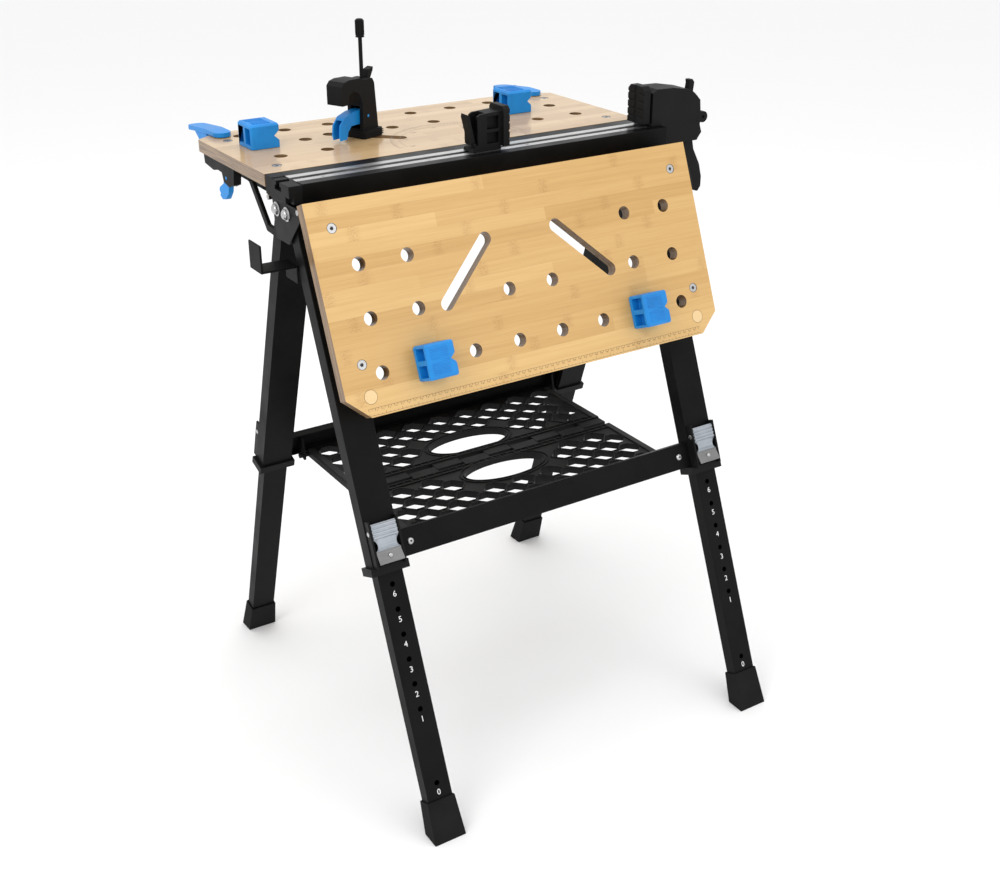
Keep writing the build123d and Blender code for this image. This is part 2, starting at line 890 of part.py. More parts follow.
save(
    hinge_arms(front_point, arm_end_v, front_screw_v, True, front_plane, -1), "front_hinge_arms"
)

with BuildPart() as rear_hinge_arms:
    add(hinge_arms(rear_point, arm_rear_end_v, rear_screw_v, False, rear_plane, 1))
    for arm_hand in (-1, 1):
        with BuildSketch(Plane.YZ.offset(arm_hand * screw_x)):
            with BuildLine():
                Polyline(
                    rear_point(arm_rear_end_v - 4, -panel_thick - 2),
                    rear_point(arm_rear_end_v + 12, -panel_thick - 3),
                    (paddle_pivot[0] + 7, paddle_pivot[1] + 6),
                    (paddle_pivot[0] + 7, paddle_pivot[1] - 6),
                    rear_point(arm_rear_end_v - 4, -panel_thick - arm_depth + 3),
                    close=True,
                )
            make_face()
            with Locations(paddle_pivot):
                Circle(paddle_pin_radius + pivot_clear, mode=Mode.SUBTRACT)
        extrude(amount=arm_half - 4, both=True)
save(rear_hinge_arms.part, "rear_hinge_arms")


# ---- rear panel struts ----------------------------------------------------
def strut(hand):
    """Bent strut under the rear panel with its rivet and its hooked foot."""
    top = rear_point(strut_pin_v, strut_pin_w)
    start = strut_x0 if hand > 0 else -strut_x1
    with BuildPart() as body:
        with BuildSketch(Plane.YZ.offset(start)):
            for (y0, z0), (y1, z1) in ((top, strut_bend), (strut_bend, strut_foot)):
                with Locations(((y0 + y1) / 2, (z0 + z1) / 2)):
                    SlotCenterToCenter(
                        ((y1 - y0) ** 2 + (z1 - z0) ** 2) ** 0.5,
                        2 * strut_half_width,
                        rotation=degrees(atan2(z1 - z0, y1 - y0)),
                    )
        extrude(amount=strut_x1 - strut_x0)
        with BuildSketch(Plane.YZ.offset(hand * (strut_x1 + 2))):
            with Locations(top):
                Circle(strut_pin_radius)
        extrude(amount=-hand * (strut_x1 + 2 - screw_x - 2))
    return body.part


save(strut(-1), "strut_left")
save(strut(1), "strut_right")


# ---- bench dogs -----------------------------------------------------------
def bench_dog(plane, pocket_sign, groove_turn):
    """Bench dog block with a grooved side, two pockets and a round peg."""
    half_w = dog_width / 2
    half_l = dog_length / 2
    with BuildPart() as body:
        with BuildSketch(plane.offset(0.3)):
            RectangleRounded(dog_width, dog_length, 4)
        extrude(amount=dog_height)
        chamfer(body.faces().sort_by(Axis(plane.origin, plane.z_dir))[-1].edges(), 3)
        groove_mid = plane.offset(dog_height / 2)
        if groove_turn:
            side_plane = plane.offset(dog_height + 1)
            with BuildSketch(side_plane):
                with BuildLine():
                    Polyline(
                        (-pocket_sign * (half_w + 1), -dog_groove),
                        (-pocket_sign * (half_w - dog_groove), 0),
                        (-pocket_sign * (half_w + 1), dog_groove),
                        close=True,
                    )
                make_face()
            extrude(amount=-dog_height - 2, mode=Mode.SUBTRACT)
        else:
            groove_plane = Plane(
                origin=groove_mid.origin - plane.y_dir * (half_l + 1),
                x_dir=plane.x_dir,
                z_dir=plane.y_dir,
            )
            with BuildSketch(groove_plane):
                with BuildLine():
                    Polyline(
                        (-pocket_sign * (half_w + 1), -dog_groove),
                        (-pocket_sign * (half_w - dog_groove), 0),
                        (-pocket_sign * (half_w + 1), dog_groove),
                        close=True,
                    )
                make_face()
            extrude(amount=dog_length + 2, mode=Mode.SUBTRACT)
        pocket_plane = Plane(
            origin=groove_mid.origin + plane.x_dir * pocket_sign * (half_w + 1),
            x_dir=plane.y_dir,
            z_dir=plane.x_dir * -pocket_sign,
        )
        with BuildSketch(pocket_plane):
            with Locations((-dog_pocket, 0), (dog_pocket, 0)):
                Rectangle(2 * dog_pocket - dog_wall - 4, dog_height - 12)
        extrude(amount=dog_pocket_depth, mode=Mode.SUBTRACT)
        with BuildSketch(plane.offset(0.3)):
            Circle(dog_peg_radius)
        extrude(amount=-dog_peg_length)
    return body.part


def front_dog_plane(x):
    """Plane on the front panel's face at a bench dog's hole."""
    y, z = front_point(front_rows[2], 0)
    return Plane(origin=(x, y, z), x_dir=(1, 0, 0), z_dir=front_plane.z_dir)


def rear_dog_plane(x):
    """Plane on the rear panel's top at a bench dog's hole."""
    y, z = rear_point(rear_rows[1], 0)
    return Plane(origin=(x, y, z), x_dir=(1, 0, 0), z_dir=(0, 0, 1))


save(bench_dog(front_dog_plane(-hole_columns[2]), -1, True), "dog_front_left")
save(bench_dog(front_dog_plane(hole_columns[2]), -1, True), "dog_front_right")
save(bench_dog(rear_dog_plane(-hole_columns[3]), -1, False), "dog_rear_left")
save(bench_dog(rear_dog_plane(hole_columns[2]), -1, False), "dog_rear_right")


# ---- clamps under the rear panel ------------------------------------------
def grip_body(hand):
    """Housing of the squeeze grip fixed under the rear panel."""
    start = grip_x0 if hand > 0 else -grip_x1
    top = table_z - panel_thick
    with BuildPart() as body:
        with BuildSketch(Plane.YZ.offset(start)):
            with BuildLine():
                Polyline(
                    (182, top),
                    (297, top),
                    (295, 856),
                    (262, 852),
                    (244, 856),
                    (230, 855),
                    (225, 842),
                    (205, 838),
                    (187, 845),
                    close=True,
                )
            make_face()
            with Locations((215, 850)):
                Circle(head_pin_radius + pivot_clear, mode=Mode.SUBTRACT)
        extrude(amount=grip_x1 - grip_x0)
        with BuildSketch(Plane.YZ.offset(hand * (grip_x0 + grip_x1) / 2)):
            with BuildLine():
                Polyline((199, 830), (199, 862), (236, 862), (236, 830), close=True)
            make_face()
        extrude(amount=4.5, both=True, mode=Mode.SUBTRACT)
    return body.part


def grip_trigger(hand):
    """Curved squeeze trigger that turns in the grip housing."""
    with BuildPart() as body:
        with BuildSketch(Plane.YZ.offset(hand * (grip_x0 + grip_x1) / 2)):
            with BuildLine():
                Polyline(
                    (209, 846),
                    (211, 855),
                    (220, 856),
                    (232, 838),
                    (248, 829),
                    (250, 824),
                    (246, 820),
                    (249, 816),
                    (240, 812),
                    (226, 815),
                    (214, 828),
                    close=True,
                )
            make_face()
        extrude(amount=4, both=True)
        with BuildSketch(Plane.YZ.offset(hand * (grip_x0 + grip_x1) / 2)):
            with Locations((215, 850)):
                Circle(head_pin_radius)
        extrude(amount=(grip_x1 - grip_x0) / 2, both=True)
    return body.part


def clamp_paddle(hand):
    """Pad, stalk and pin of one clamp paddle."""
    with BuildPart() as body:
        with BuildSketch(Plane.XY.offset(870)):
            with Locations((hand * paddle_x, 363.5)):
                SlotOverall(128, 2 * paddle_half, rotation=90)
        extrude(amount=40)
        with BuildSketch(Plane.YZ.offset(hand * paddle_x)):
            with BuildLine():
                Polyline(
                    (298, 888.7),
                    (341, 888.7),
                    (428, 879.5),
                    (428, 886.5),
                    (345, 895),
                    (298, 895.5),
                    close=True,
                )
            make_face()
        extrude(amount=2 * paddle_half, both=True, mode=Mode.INTERSECT)
        with BuildSketch(Plane.YZ.offset(hand * screw_x)):
            with BuildLine():
                Polyline(
                    (345, 888.2),
                    (346, 858),
                    (paddle_pivot[0] - 6, paddle_pivot[1] - 6),
                    (paddle_pivot[0] + 6, paddle_pivot[1] - 6),
                    (paddle_pivot[0] + 8, 862),
                    (395, 883.2),
                    close=True,
                )
            make_face()
        extrude(amount=arm_half - 1, both=True)
        with BuildSketch(Plane.YZ.offset(hand * screw_x)):
            with BuildLine():
                Polyline(
                    (330, 840),
                    (330, 870),
                    (372, 870),
                    (372, 840),
                    close=True,
                )
            make_face()
        extrude(amount=arm_half - 3.6, both=True, mode=Mode.SUBTRACT)
        with BuildSketch(Plane.YZ.offset(hand * screw_x)):
            with Locations(paddle_pivot):
                Circle(paddle_pin_radius)
        extrude(amount=arm_half, both=True)
    return body.part


for hand_name, clamp_hand in (("left", -1), ("right", 1)):
    save(grip_body(clamp_hand), "rear_grip_" + hand_name)
    save(grip_trigger(clamp_hand), "rear_trigger_" + hand_name)
    save(clamp_paddle(clamp_hand), "clamp_paddle_" + hand_name)


# ---- sliding jaw ----------------------------------------------------------
with BuildPart() as sliding_jaw:
    with BuildSketch(Plane.XZ.offset(-jaw_rear)):
        with BuildLine():
            Polyline(
                (-22, 888.1),
                (-20, 893),
                (-11, 896),
                (-13, 939),
                (-8, 942),
                (jaw_pad_x0, 944),
                (jaw_pad_x0, 888.1),
                close=True,
            )
        make_face()
    extrude(amount=jaw_rear - jaw_front)
    with BuildSketch(Plane.XZ.offset(-jaw_rear + jaw_cheek)):
        with BuildLine():
            Polyline((-30, 897), (-30, 950), (2, 950), (2, 912), (-3, 897), close=True)
        make_face()
    extrude(amount=jaw_rear - jaw_front - 2 * jaw_cheek, mode=Mode.SUBTRACT)
    for pocket_y in (jaw_front - 1, jaw_rear + 1):
        with BuildSketch(Plane.XZ.offset(-pocket_y)):
            with BuildLine():
                Polyline((4, 898), (4, 914), (24, 914), (24, 898), close=True)
            make_face()
            with BuildLine():
                Polyline((4, 919), (4, 937), (24, 938), (24, 919), close=True)
            make_face()
        extrude(amount=-9 if pocket_y < jaw_rear else 9, mode=Mode.SUBTRACT)
    with BuildSketch(Plane.YZ.offset(jaw_pad_x0)):
        with BuildLine():
            Polyline(
                (jaw_pad_front, jaw_pad_low),
                (jaw_pad_front, jaw_pad_high - 5),
                (jaw_pad_front + 5, jaw_pad_high),
                (jaw_pad_rear - 5, jaw_pad_high),
                (jaw_pad_rear, jaw_pad_high - 5),
                (jaw_pad_rear, jaw_pad_low),
                close=True,
            )
        make_face()
    extrude(amount=jaw_pad_x1 - jaw_pad_x0)
    with BuildSketch(Plane.YZ.offset(jaw_pad_x1)):
        for groove in range(4):
            with Locations(((jaw_pad_front + jaw_pad_rear) / 2, 903 + 12 * groove)):
                Rectangle(jaw_pad_rear - jaw_pad_front, 2.4)
        with Locations(((jaw_pad_front + jaw_pad_rear) / 2, (jaw_pad_low + jaw_pad_high) / 2)):
            Rectangle(jaw_pad_split, jaw_pad_high - jaw_pad_low)
    extrude(amount=-1.5, mode=Mode.SUBTRACT)
    with BuildSketch(Plane.YZ.offset(-12)):
        with BuildLine():
            Polyline(
                (slot_front + 0.5, 888.6),
                (slot_front + 0.5, head_high - 0.5),
                (head_front + 0.5, head_high - 0.5),
                (head_front + 0.5, head_low + 0.5),
                (head_rear - 0.5, head_low + 0.5),
                (head_rear - 0.5, head_high - 0.5),
                (slot_rear - 0.5, head_high - 0.5),
                (slot_rear - 0.5, 888.6),
                close=True,
            )
        make_face()
    extrude(amount=36)
    with BuildSketch(Plane.XZ.offset(-jaw_rear - 1)):
        with Locations(jaw_lever_pivot):
            Circle(jaw_lever_pin + pivot_clear)
    extrude(amount=jaw_rear - jaw_front + 2, mode=Mode.SUBTRACT)
save(sliding_jaw.part, "sliding_jaw")

with BuildPart() as jaw_lever:
    with BuildSketch(Plane.XZ.offset(-jaw_rear + jaw_cheek + 0.6)):
        with BuildLine():
            Polyline(
                (-20, 897.4),
                (-22, 903),
                (-22, 915),
                (-28, 938),
                (-27, 943),
                (-23.5, 941),
                (-18, 918),
                (-14.5, 904),
                (-14.5, 897.4),
                close=True,
            )
        make_face()
    extrude(amount=jaw_rear - jaw_front - 2 * jaw_cheek - 1.2)
    with BuildSketch(Plane.XZ.offset(-jaw_rear)):
        with Locations(jaw_lever_pivot):
            Circle(jaw_lever_pin)
    extrude(amount=jaw_rear - jaw_front)
save(jaw_lever.part, "jaw_lever")

# ---- trigger head ---------------------------------------------------------
with BuildPart() as head_body:
    with BuildSketch(Plane.XZ.offset(-head_y1)):
        with BuildLine():
            Polyline(
                (304, 888),
                (304, 940),
                (312, 945.5),
                (345, 944.5),
                (381, 938),
                (390, 931),
                (401, 920),
                (403, 900),
                (403, 880),
                (407, 868),
                (398, 856),
                (rail_right, 856),
                (rail_right, 888),
                close=True,
            )
        make_face()
    extrude(amount=head_y1 - head_y0)
    fillet(head_body.edges().filter_by(Axis.Y).group_by(Axis.Z)[-1], 3)
    with BuildSketch(Plane.YZ.offset(300)):
        with Locations(((bar_y0 + bar_y1) / 2, (bar_z0 + bar_z1) / 2)):
            Rectangle(bar_y1 - bar_y0 + 2 * bar_clear, bar_z1 - bar_z0 + 2 * bar_clear)
    extrude(amount=bar_end + 2 - 300, mode=Mode.SUBTRACT)
    with BuildSketch(Plane.XZ.offset(-trigger_y1 - 1)):
        with BuildLine():
            Polyline(
                (372, 850), (372, 876), (388, 878), (404, 872), (412, 866), (400, 850), close=True
            )
        make_face()
    extrude(amount=trigger_y1 - trigger_y0 + 2, mode=Mode.SUBTRACT)
    with BuildSketch(Plane.XZ.offset(-trigger_y1 + 3)):
        with BuildLine():
            Polyline((383, 914), (379, 950), (410, 950), (410, 914), close=True)
        make_face()
    extrude(amount=trigger_y1 - trigger_y0 - 6, mode=Mode.SUBTRACT)
    with BuildSketch(Plane.XZ.offset(-trigger_y1 + 3)):
        with BuildLine():
            Polyline((386, 880), (386, 894), (392, 904), (412, 904), (412, 880), close=True)
        make_face()
    extrude(amount=trigger_y1 - trigger_y0 - 6, mode=Mode.SUBTRACT)
    with BuildSketch(Plane.XZ.offset(-head_y1 - 1)):
        with Locations(trigger_pivot, release_pivot, latch_pivot):
            Circle(head_pin_radius + pivot_clear)
    extrude(amount=head_y1 - head_y0 + 2, mode=Mode.SUBTRACT)
save(head_body.part, "head_body")

with BuildPart() as head_jaw:
    with BuildSketch(Plane.YZ.offset(287)):
        with BuildLine():
            Polyline(
                (jaw_pad_front, 893),
                (jaw_pad_front, 945),
                (jaw_pad_front + 6, jaw_pad_high),
                (jaw_pad_rear - 6, jaw_pad_high),
                (jaw_pad_rear, 945),
                (jaw_pad_rear, 893),
                close=True,
            )
        make_face()
    extrude(amount=14)
    with BuildSketch(Plane.YZ.offset(287)):
        for groove in range(4):
            with Locations(((jaw_pad_front + jaw_pad_rear) / 2, 903 + 12 * groove)):
                Rectangle(jaw_pad_rear - jaw_pad_front, 2.4)
        with Locations(((jaw_pad_front + jaw_pad_rear) / 2, (893 + jaw_pad_high) / 2)):
            Rectangle(7, jaw_pad_high - 893)
    extrude(amount=1.5, mode=Mode.SUBTRACT)
    with BuildSketch(Plane.YZ.offset(301)):
        with Locations(((bar_y0 + bar_y1) / 2, (bar_z0 + bar_z1) / 2)):
            Rectangle(bar_y1 - bar_y0, bar_z1 - bar_z0)
    extrude(amount=bar_end - 301)
save(head_jaw.part, "head_jaw")

with BuildPart() as head_trigger:
    with BuildSketch(Plane.XZ.offset(-trigger_y1)):
        with BuildLine():
            Polyline(
                (384, 857),
                (385, 867),
                (392, 870),
                (399, 866),
                (400, 856),
                (404, 838),
                (418, 812),
                (424, 790),
                (424, 774),
                (418, 766),
                (411, 768),
                (406, 790),
                (396, 814),
                (385, 838),
                close=True,
            )
        make_face()
    extrude(amount=trigger_y1 - trigger_y0)
    with BuildSketch(Plane.XZ.offset(-head_y1)):
        with Locations(trigger_pivot):
            Circle(head_pin_radius)
    extrude(amount=head_y1 - head_y0)
save(head_trigger.part, "head_trigger")

with BuildPart() as head_release:
    with BuildSketch(Plane.XZ.offset(-trigger_y1 + 4)):
        with BuildLine():
            Polyline(
                (389, 921),
                (389, 932),
                (391, 944),
                (390, 950),
                (397, 950),
                (401, 945),
                (399, 930),
                (397.5, 921),
                close=True,
            )
        make_face()
    extrude(amount=trigger_y1 - trigger_y0 - 8)
    with BuildSketch(Plane.XZ.offset(-head_y1)):
        with Locations(release_pivot):
            Circle(head_pin_radius)
    extrude(amount=head_y1 - head_y0)
save(head_release.part, "head_release")

with BuildPart() as head_latch:
    with BuildSketch(Plane.XZ.offset(-trigger_y1 + 4)):
        with Locations((424, 887)):
            Circle(9)
        with BuildLine():
            Polyline((393, 882), (393, 892), (404, 893), (424, 896), (424, 878), (404, 881), close=True)
        make_face()
        with Locations((424, 887)):
            Circle(2.6, mode=Mode.SUBTRACT)
    extrude(amount=trigger_y1 - trigger_y0 - 8)
    with BuildSketch(Plane.XZ.offset(-head_y1)):
        with Locations(latch_pivot):
            Circle(head_pin_radius)
    extrude(amount=head_y1 - head_y0)
save(head_latch.part, "head_latch")

# ---- hold-down clamp ------------------------------------------------------
hold_angle = radians(hold_turn)
hold_side = Plane(
    origin=(hold_x, hold_y, 0),
    x_dir=(-cos(hold_angle), -sin(hold_angle), 0),
    z_dir=(-sin(hold_angle), cos(hold_angle), 0),
)
hold_top = Plane(
    origin=(hold_x, hold_y, table_z + 0.3),
    x_dir=(-cos(hold_angle), -sin(hold_angle), 0),
    z_dir=(0, 0, 1),
)

with BuildPart() as hold_body:
    with BuildSketch(hold_top):
        with Locations((-2, 0)):
            RectangleRounded(44, 40, 4)
    extrude(amount=12)
    with BuildSketch(hold_side):
        with BuildLine():
            Polyline(
                (-19, 899),
                (-13, 968),
                (-9, 975),
                (9, 975),
                (20, 979),
                (44, 980),
                (56, 978),
                (62, 972),
                (62, 944),
                (48, 944),
                (46, 958),
                (34, 962),
                (22, 956),
                (16, 940),
                (17, 899),
                close=True,
            )
        make_face()
    extrude(amount=hold_half, both=True)
    with BuildSketch(hold_side):
        with BuildLine():
            Polyline((5, 902), (-4, 912), (-4, 938), (12, 936), (40, 936), (40, 902), close=True)
        make_face()
    extrude(amount=hold_trigger_half + 0.6, both=True, mode=Mode.SUBTRACT)
    with BuildSketch(hold_side):
        with BuildLine():
            Polyline((-30, 950), (-11.5, 950), (-6.5, 957), (-6.5, 990), (-30, 990), close=True)
        make_face()
    extrude(amount=6, both=True, mode=Mode.SUBTRACT)
    with BuildSketch(Plane(origin=hold_top.origin, x_dir=hold_top.x_dir, z_dir=(0, 0, -1))):
        Circle(hold_stem_radius)
    extrude(amount=hold_stem_length)
    with BuildSketch(Plane(origin=(hold_x, hold_y, 990), x_dir=hold_top.x_dir, z_dir=(0, 0, 1))):
        with Locations((hold_rod_u, 0)):
            Circle(hold_rod_radius + 0.08)
    extrude(amount=-(990 - hold_rod_low + 1), mode=Mode.SUBTRACT)
    with BuildSketch(hold_side):
        with Locations(hold_trigger_pivot, hold_release_pivot):
            Circle(hold_pin_radius + pivot_clear)
    extrude(amount=hold_half + 1, both=True, mode=Mode.SUBTRACT)
save(hold_body.part, "hold_down_body")

with BuildPart() as hold_bar:
    with BuildSketch(
        Plane(origin=(hold_x, hold_y, hold_rod_seat), x_dir=hold_top.x_dir, z_dir=(0, 0, 1))
    ):
        with Locations((hold_rod_u, 0)):
            Circle(hold_rod_radius)
    extrude(amount=hold_rod_top - hold_rod_seat)
    with BuildSketch(
        Plane(origin=(hold_x, hold_y, hold_rod_top), x_dir=hold_top.x_dir, z_dir=(0, 0, 1))
    ):
        with Locations((hold_rod_u, 0)):
            RegularPolygon(hold_knob_radius, 8)
    extrude(amount=hold_knob_top - hold_rod_top)
    chamfer(hold_bar.faces().sort_by(Axis.Z)[-1].edges(), 1.5)
save(hold_bar.part, "hold_down_bar")

with BuildPart() as hold_trigger:
    with BuildSketch(hold_side):
        with BuildLine():
            Polyline(
                (0, 914),
                (-1, 925),
                (8, 931),
                (30, 930),
                (50, 925),
                (61, 914),
                (63, 900),
                (61, 892),
                (47, 892),
                (44, 902),
                (36, 910),
                (14, 910),
                close=True,
            )
        make_face()
    extrude(amount=hold_trigger_half, both=True)
    with BuildSketch(hold_side):
        with BuildLine():
            Polyline(
                (18, 914),
                (38, 914),
                (48, 906),
                (51, 890),
                (70, 888),
                (70, 918),
                (52, 921),
                (30, 926),
                (18, 926),
                close=True,
            )
        make_face()
    extrude(amount=hold_trigger_half - 2.5, both=True, mode=Mode.SUBTRACT)
    with BuildSketch(hold_side):
        with BuildLine():
            Polyline(
                (15, 911),
                (37, 911),
                (45, 903),
                (48, 893),
                (50.5, 893),
                (47.5, 905),
                (38.5, 914.5),
                (15, 914.5),
                close=True,
            )
        make_face()
    extrude(amount=hold_trigger_half - 1, both=True)
    with BuildSketch(hold_side):
        with Locations(hold_trigger_pivot):
            Circle(hold_pin_radius)
    extrude(amount=hold_half, both=True)
save(hold_trigger.part, "hold_down_trigger")

with BuildPart() as hold_release:
    with BuildSketch(hold_side):
        with BuildLine():
            Polyline(
                (-8, 962),
                (-8, 974),
                (-13, 986),
                (-23, 989),
                (-22, 984),
                (-16, 974),
                (-13, 962),
                close=True,
            )
        make_face()
    extrude(amount=5.4, both=True)
    with BuildSketch(hold_side):
        with Locations(hold_release_pivot):
            Circle(hold_pin_radius)
    extrude(amount=hold_half, both=True)
save(hold_release.part, "hold_down_release")
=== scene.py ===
import json
import math

import bmesh
import bpy
from mathutils import Matrix, Vector


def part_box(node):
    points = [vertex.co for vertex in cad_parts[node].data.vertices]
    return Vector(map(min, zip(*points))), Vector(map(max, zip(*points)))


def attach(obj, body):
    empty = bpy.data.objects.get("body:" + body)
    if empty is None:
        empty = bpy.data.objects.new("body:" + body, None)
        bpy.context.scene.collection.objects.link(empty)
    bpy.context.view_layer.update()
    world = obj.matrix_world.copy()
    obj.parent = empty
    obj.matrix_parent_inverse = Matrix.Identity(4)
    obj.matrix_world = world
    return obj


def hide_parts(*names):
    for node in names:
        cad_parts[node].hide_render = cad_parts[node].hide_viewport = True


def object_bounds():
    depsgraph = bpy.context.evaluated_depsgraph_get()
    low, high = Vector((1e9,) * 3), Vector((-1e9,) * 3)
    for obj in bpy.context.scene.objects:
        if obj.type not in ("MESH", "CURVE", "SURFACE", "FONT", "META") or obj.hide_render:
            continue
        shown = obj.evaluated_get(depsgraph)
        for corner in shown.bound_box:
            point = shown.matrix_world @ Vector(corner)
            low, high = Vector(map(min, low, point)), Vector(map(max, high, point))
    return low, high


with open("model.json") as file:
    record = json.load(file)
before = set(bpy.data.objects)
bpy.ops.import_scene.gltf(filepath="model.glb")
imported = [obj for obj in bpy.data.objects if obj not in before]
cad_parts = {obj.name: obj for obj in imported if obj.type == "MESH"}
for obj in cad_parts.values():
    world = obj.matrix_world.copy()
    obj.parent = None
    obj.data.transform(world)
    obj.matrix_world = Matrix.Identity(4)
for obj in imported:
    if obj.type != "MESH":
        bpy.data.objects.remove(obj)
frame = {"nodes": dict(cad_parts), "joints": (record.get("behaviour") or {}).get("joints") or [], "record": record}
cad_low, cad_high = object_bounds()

MM = 0.001
nodes = frame["nodes"]
record = frame["record"]
joints = {joint["name"]: joint for joint in frame["joints"]}
mounts = {mount["name"]: mount for mount in record["mounts"]}


CAPITAL_SHARE = 0.7
BEVEL_ANGLE = math.radians(32)

# ---- placing --------------------------------------------------------------
class Place:
    """A working frame: an origin, two directions in a face and its outward normal."""

    def __init__(self, origin, across, along):
        self.origin = Vector(origin)
        self.across = Vector(across).normalized()
        self.along = Vector(along).normalized()
        self.out = self.across.cross(self.along)

    def at(self, a, b, c=0.0):
        """Point a across, b along and c out of the face, in millimetres."""
        return self.origin + MM * (a * self.across + b * self.along + c * self.out)


def front_panel_place():
    """Face of the hanging worktop, from the middle of its top edge."""
    normal = Vector(joints["dog_front_left_pull"]["axis"])
    low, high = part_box("front_panel")
    lean_sin, lean_cos = normal.z, -normal.y
    deep, tall = high.y - low.y, high.z - low.z
    length = (tall * lean_cos - deep * lean_sin) / (lean_cos**2 - lean_sin**2)
    top = Vector(((low.x + high.x) / 2, low.y + length * lean_sin, high.z))
    return Place(top, (1, 0, 0), (0, lean_sin, lean_cos)), length / MM


def rear_panel_place():
    """Top of the level worktop, from the middle of its front edge."""
    low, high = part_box("rear_panel")
    return Place(((low.x + high.x) / 2, low.y, high.z), (1, 0, 0), (0, 1, 0))


def leg_place(pair, hand):
    """Outward face frame of a leg, on its centre line where it meets the floor."""
    along = Vector(joints[f"extension_{pair}_{hand}_slide"]["axis"])
    across = (1, 0, 0) if pair == "front" else (-1, 0, 0)
    return Place(mounts[f"floor_{pair}_{hand}"]["pos_m"], across, along)


front_face, front_length = front_panel_place()
rear_face = rear_panel_place()
table_top = rear_face.origin.z
middle_x = rear_face.origin.x


# ---- mesh helpers ---------------------------------------------------------
def circle(centre, radius, sides=32, start=0.0):
    """Points of a regular outline about a centre."""
    step = 2 * math.pi / sides
    return [
        (
            centre[0] + radius * math.cos(start + i * step),
            centre[1] + radius * math.sin(start + i * step),
        )
        for i in range(sides)
    ]


def box_outline(a0, b0, a1, b1):
    """Corners of an upright rectangle."""
    return [(a0, b0), (a1, b0), (a1, b1), (a0, b1)]


def prism(mesh, place, outline, low, high):
    """Adds a straight prism over an outline, between two heights."""
    bottom = [mesh.verts.new(place.at(a, b, low)) for a, b in outline]
    top = [mesh.verts.new(place.at(a, b, high)) for a, b in outline]
    mesh.faces.new(bottom[::-1])
    mesh.faces.new(top)
    for i in range(len(outline)):
        j = (i + 1) % len(outline)
        mesh.faces.new((bottom[i], bottom[j], top[j], top[i]))


def frame_prism(mesh, place, inner, outer, low, high):
    """Adds a ring between two outlines that have the same number of points."""
    rows = [
        [mesh.verts.new(place.at(a, b, height)) for a, b in outline]
        for outline, height in ((inner, low), (outer, low), (outer, high), (inner, high))
    ]
    for i in range(len(inner)):
        j = (i + 1) % len(inner)
        for k in range(len(rows)):
            under, over = rows[k], rows[(k + 1) % len(rows)]
            mesh.faces.new((under[i], under[j], over[j], over[i]))


def turned(mesh, place, centre, profile, sides=24):
    """Adds a turned solid from (radius, height) points, closed at its two ends."""
    rings = [
        [mesh.verts.new(place.at(a, b, height)) for a, b in circle(centre, radius, sides)]
        for radius, height in profile
    ]
    mesh.faces.new(rings[0][::-1])
    mesh.faces.new(rings[-1])
    for under, over in zip(rings, rings[1:]):
        for i in range(sides):
            j = (i + 1) % sides
            mesh.faces.new((under[i], under[j], over[j], over[i]))


def lettering(mesh, place, text, centre, height, low, high):
    """Adds raised figures, centred on a point of a face."""
    font = bpy.data.curves.new("figures", "FONT")
    font.body = text
    font.size = height / CAPITAL_SHARE
    font.align_x = "CENTER"
    font.align_y = "CENTER"
    font.resolution_u = 3
    holder = bpy.data.objects.new("figures", font)
    flat = bpy.data.meshes.new_from_object(holder)
    for polygon in flat.polygons:
        outline = [
            (centre[0] + flat.vertices[i].co.x, centre[1] + flat.vertices[i].co.y)
            for i in polygon.vertices
        ]
        prism(mesh, place, outline, low, high)
    bpy.data.objects.remove(holder)
    bpy.data.meshes.remove(flat)
    bpy.data.curves.remove(font)


def soften(piece, width, segments=2):
    """Rounds a piece's edges and evens its shading."""
    bevel = piece.modifiers.new("edges", "BEVEL")
    bevel.width = width * MM
    bevel.segments = segments
    bevel.limit_method = "ANGLE"
    bevel.angle_limit = BEVEL_ANGLE
    bevel.harden_normals = True
    normals = piece.modifiers.new("normals", "WEIGHTED_NORMAL")
    normals.keep_sharp = True
    for polygon in piece.data.polygons:
        polygon.use_smooth = True


def add_piece(name, mesh, body, material, width=0.0):
    """Turns a bmesh into a piece that rides on a body."""
    bmesh.ops.recalc_face_normals(mesh, faces=mesh.faces)
    data = bpy.data.meshes.new(name)
    mesh.to_mesh(data)
    mesh.free()
    piece = bpy.data.objects.new(name, data)
    bpy.context.scene.collection.objects.link(piece)
    data.materials.append(material)
    if width:
        soften(piece, width)
    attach(piece, body)
    return piece


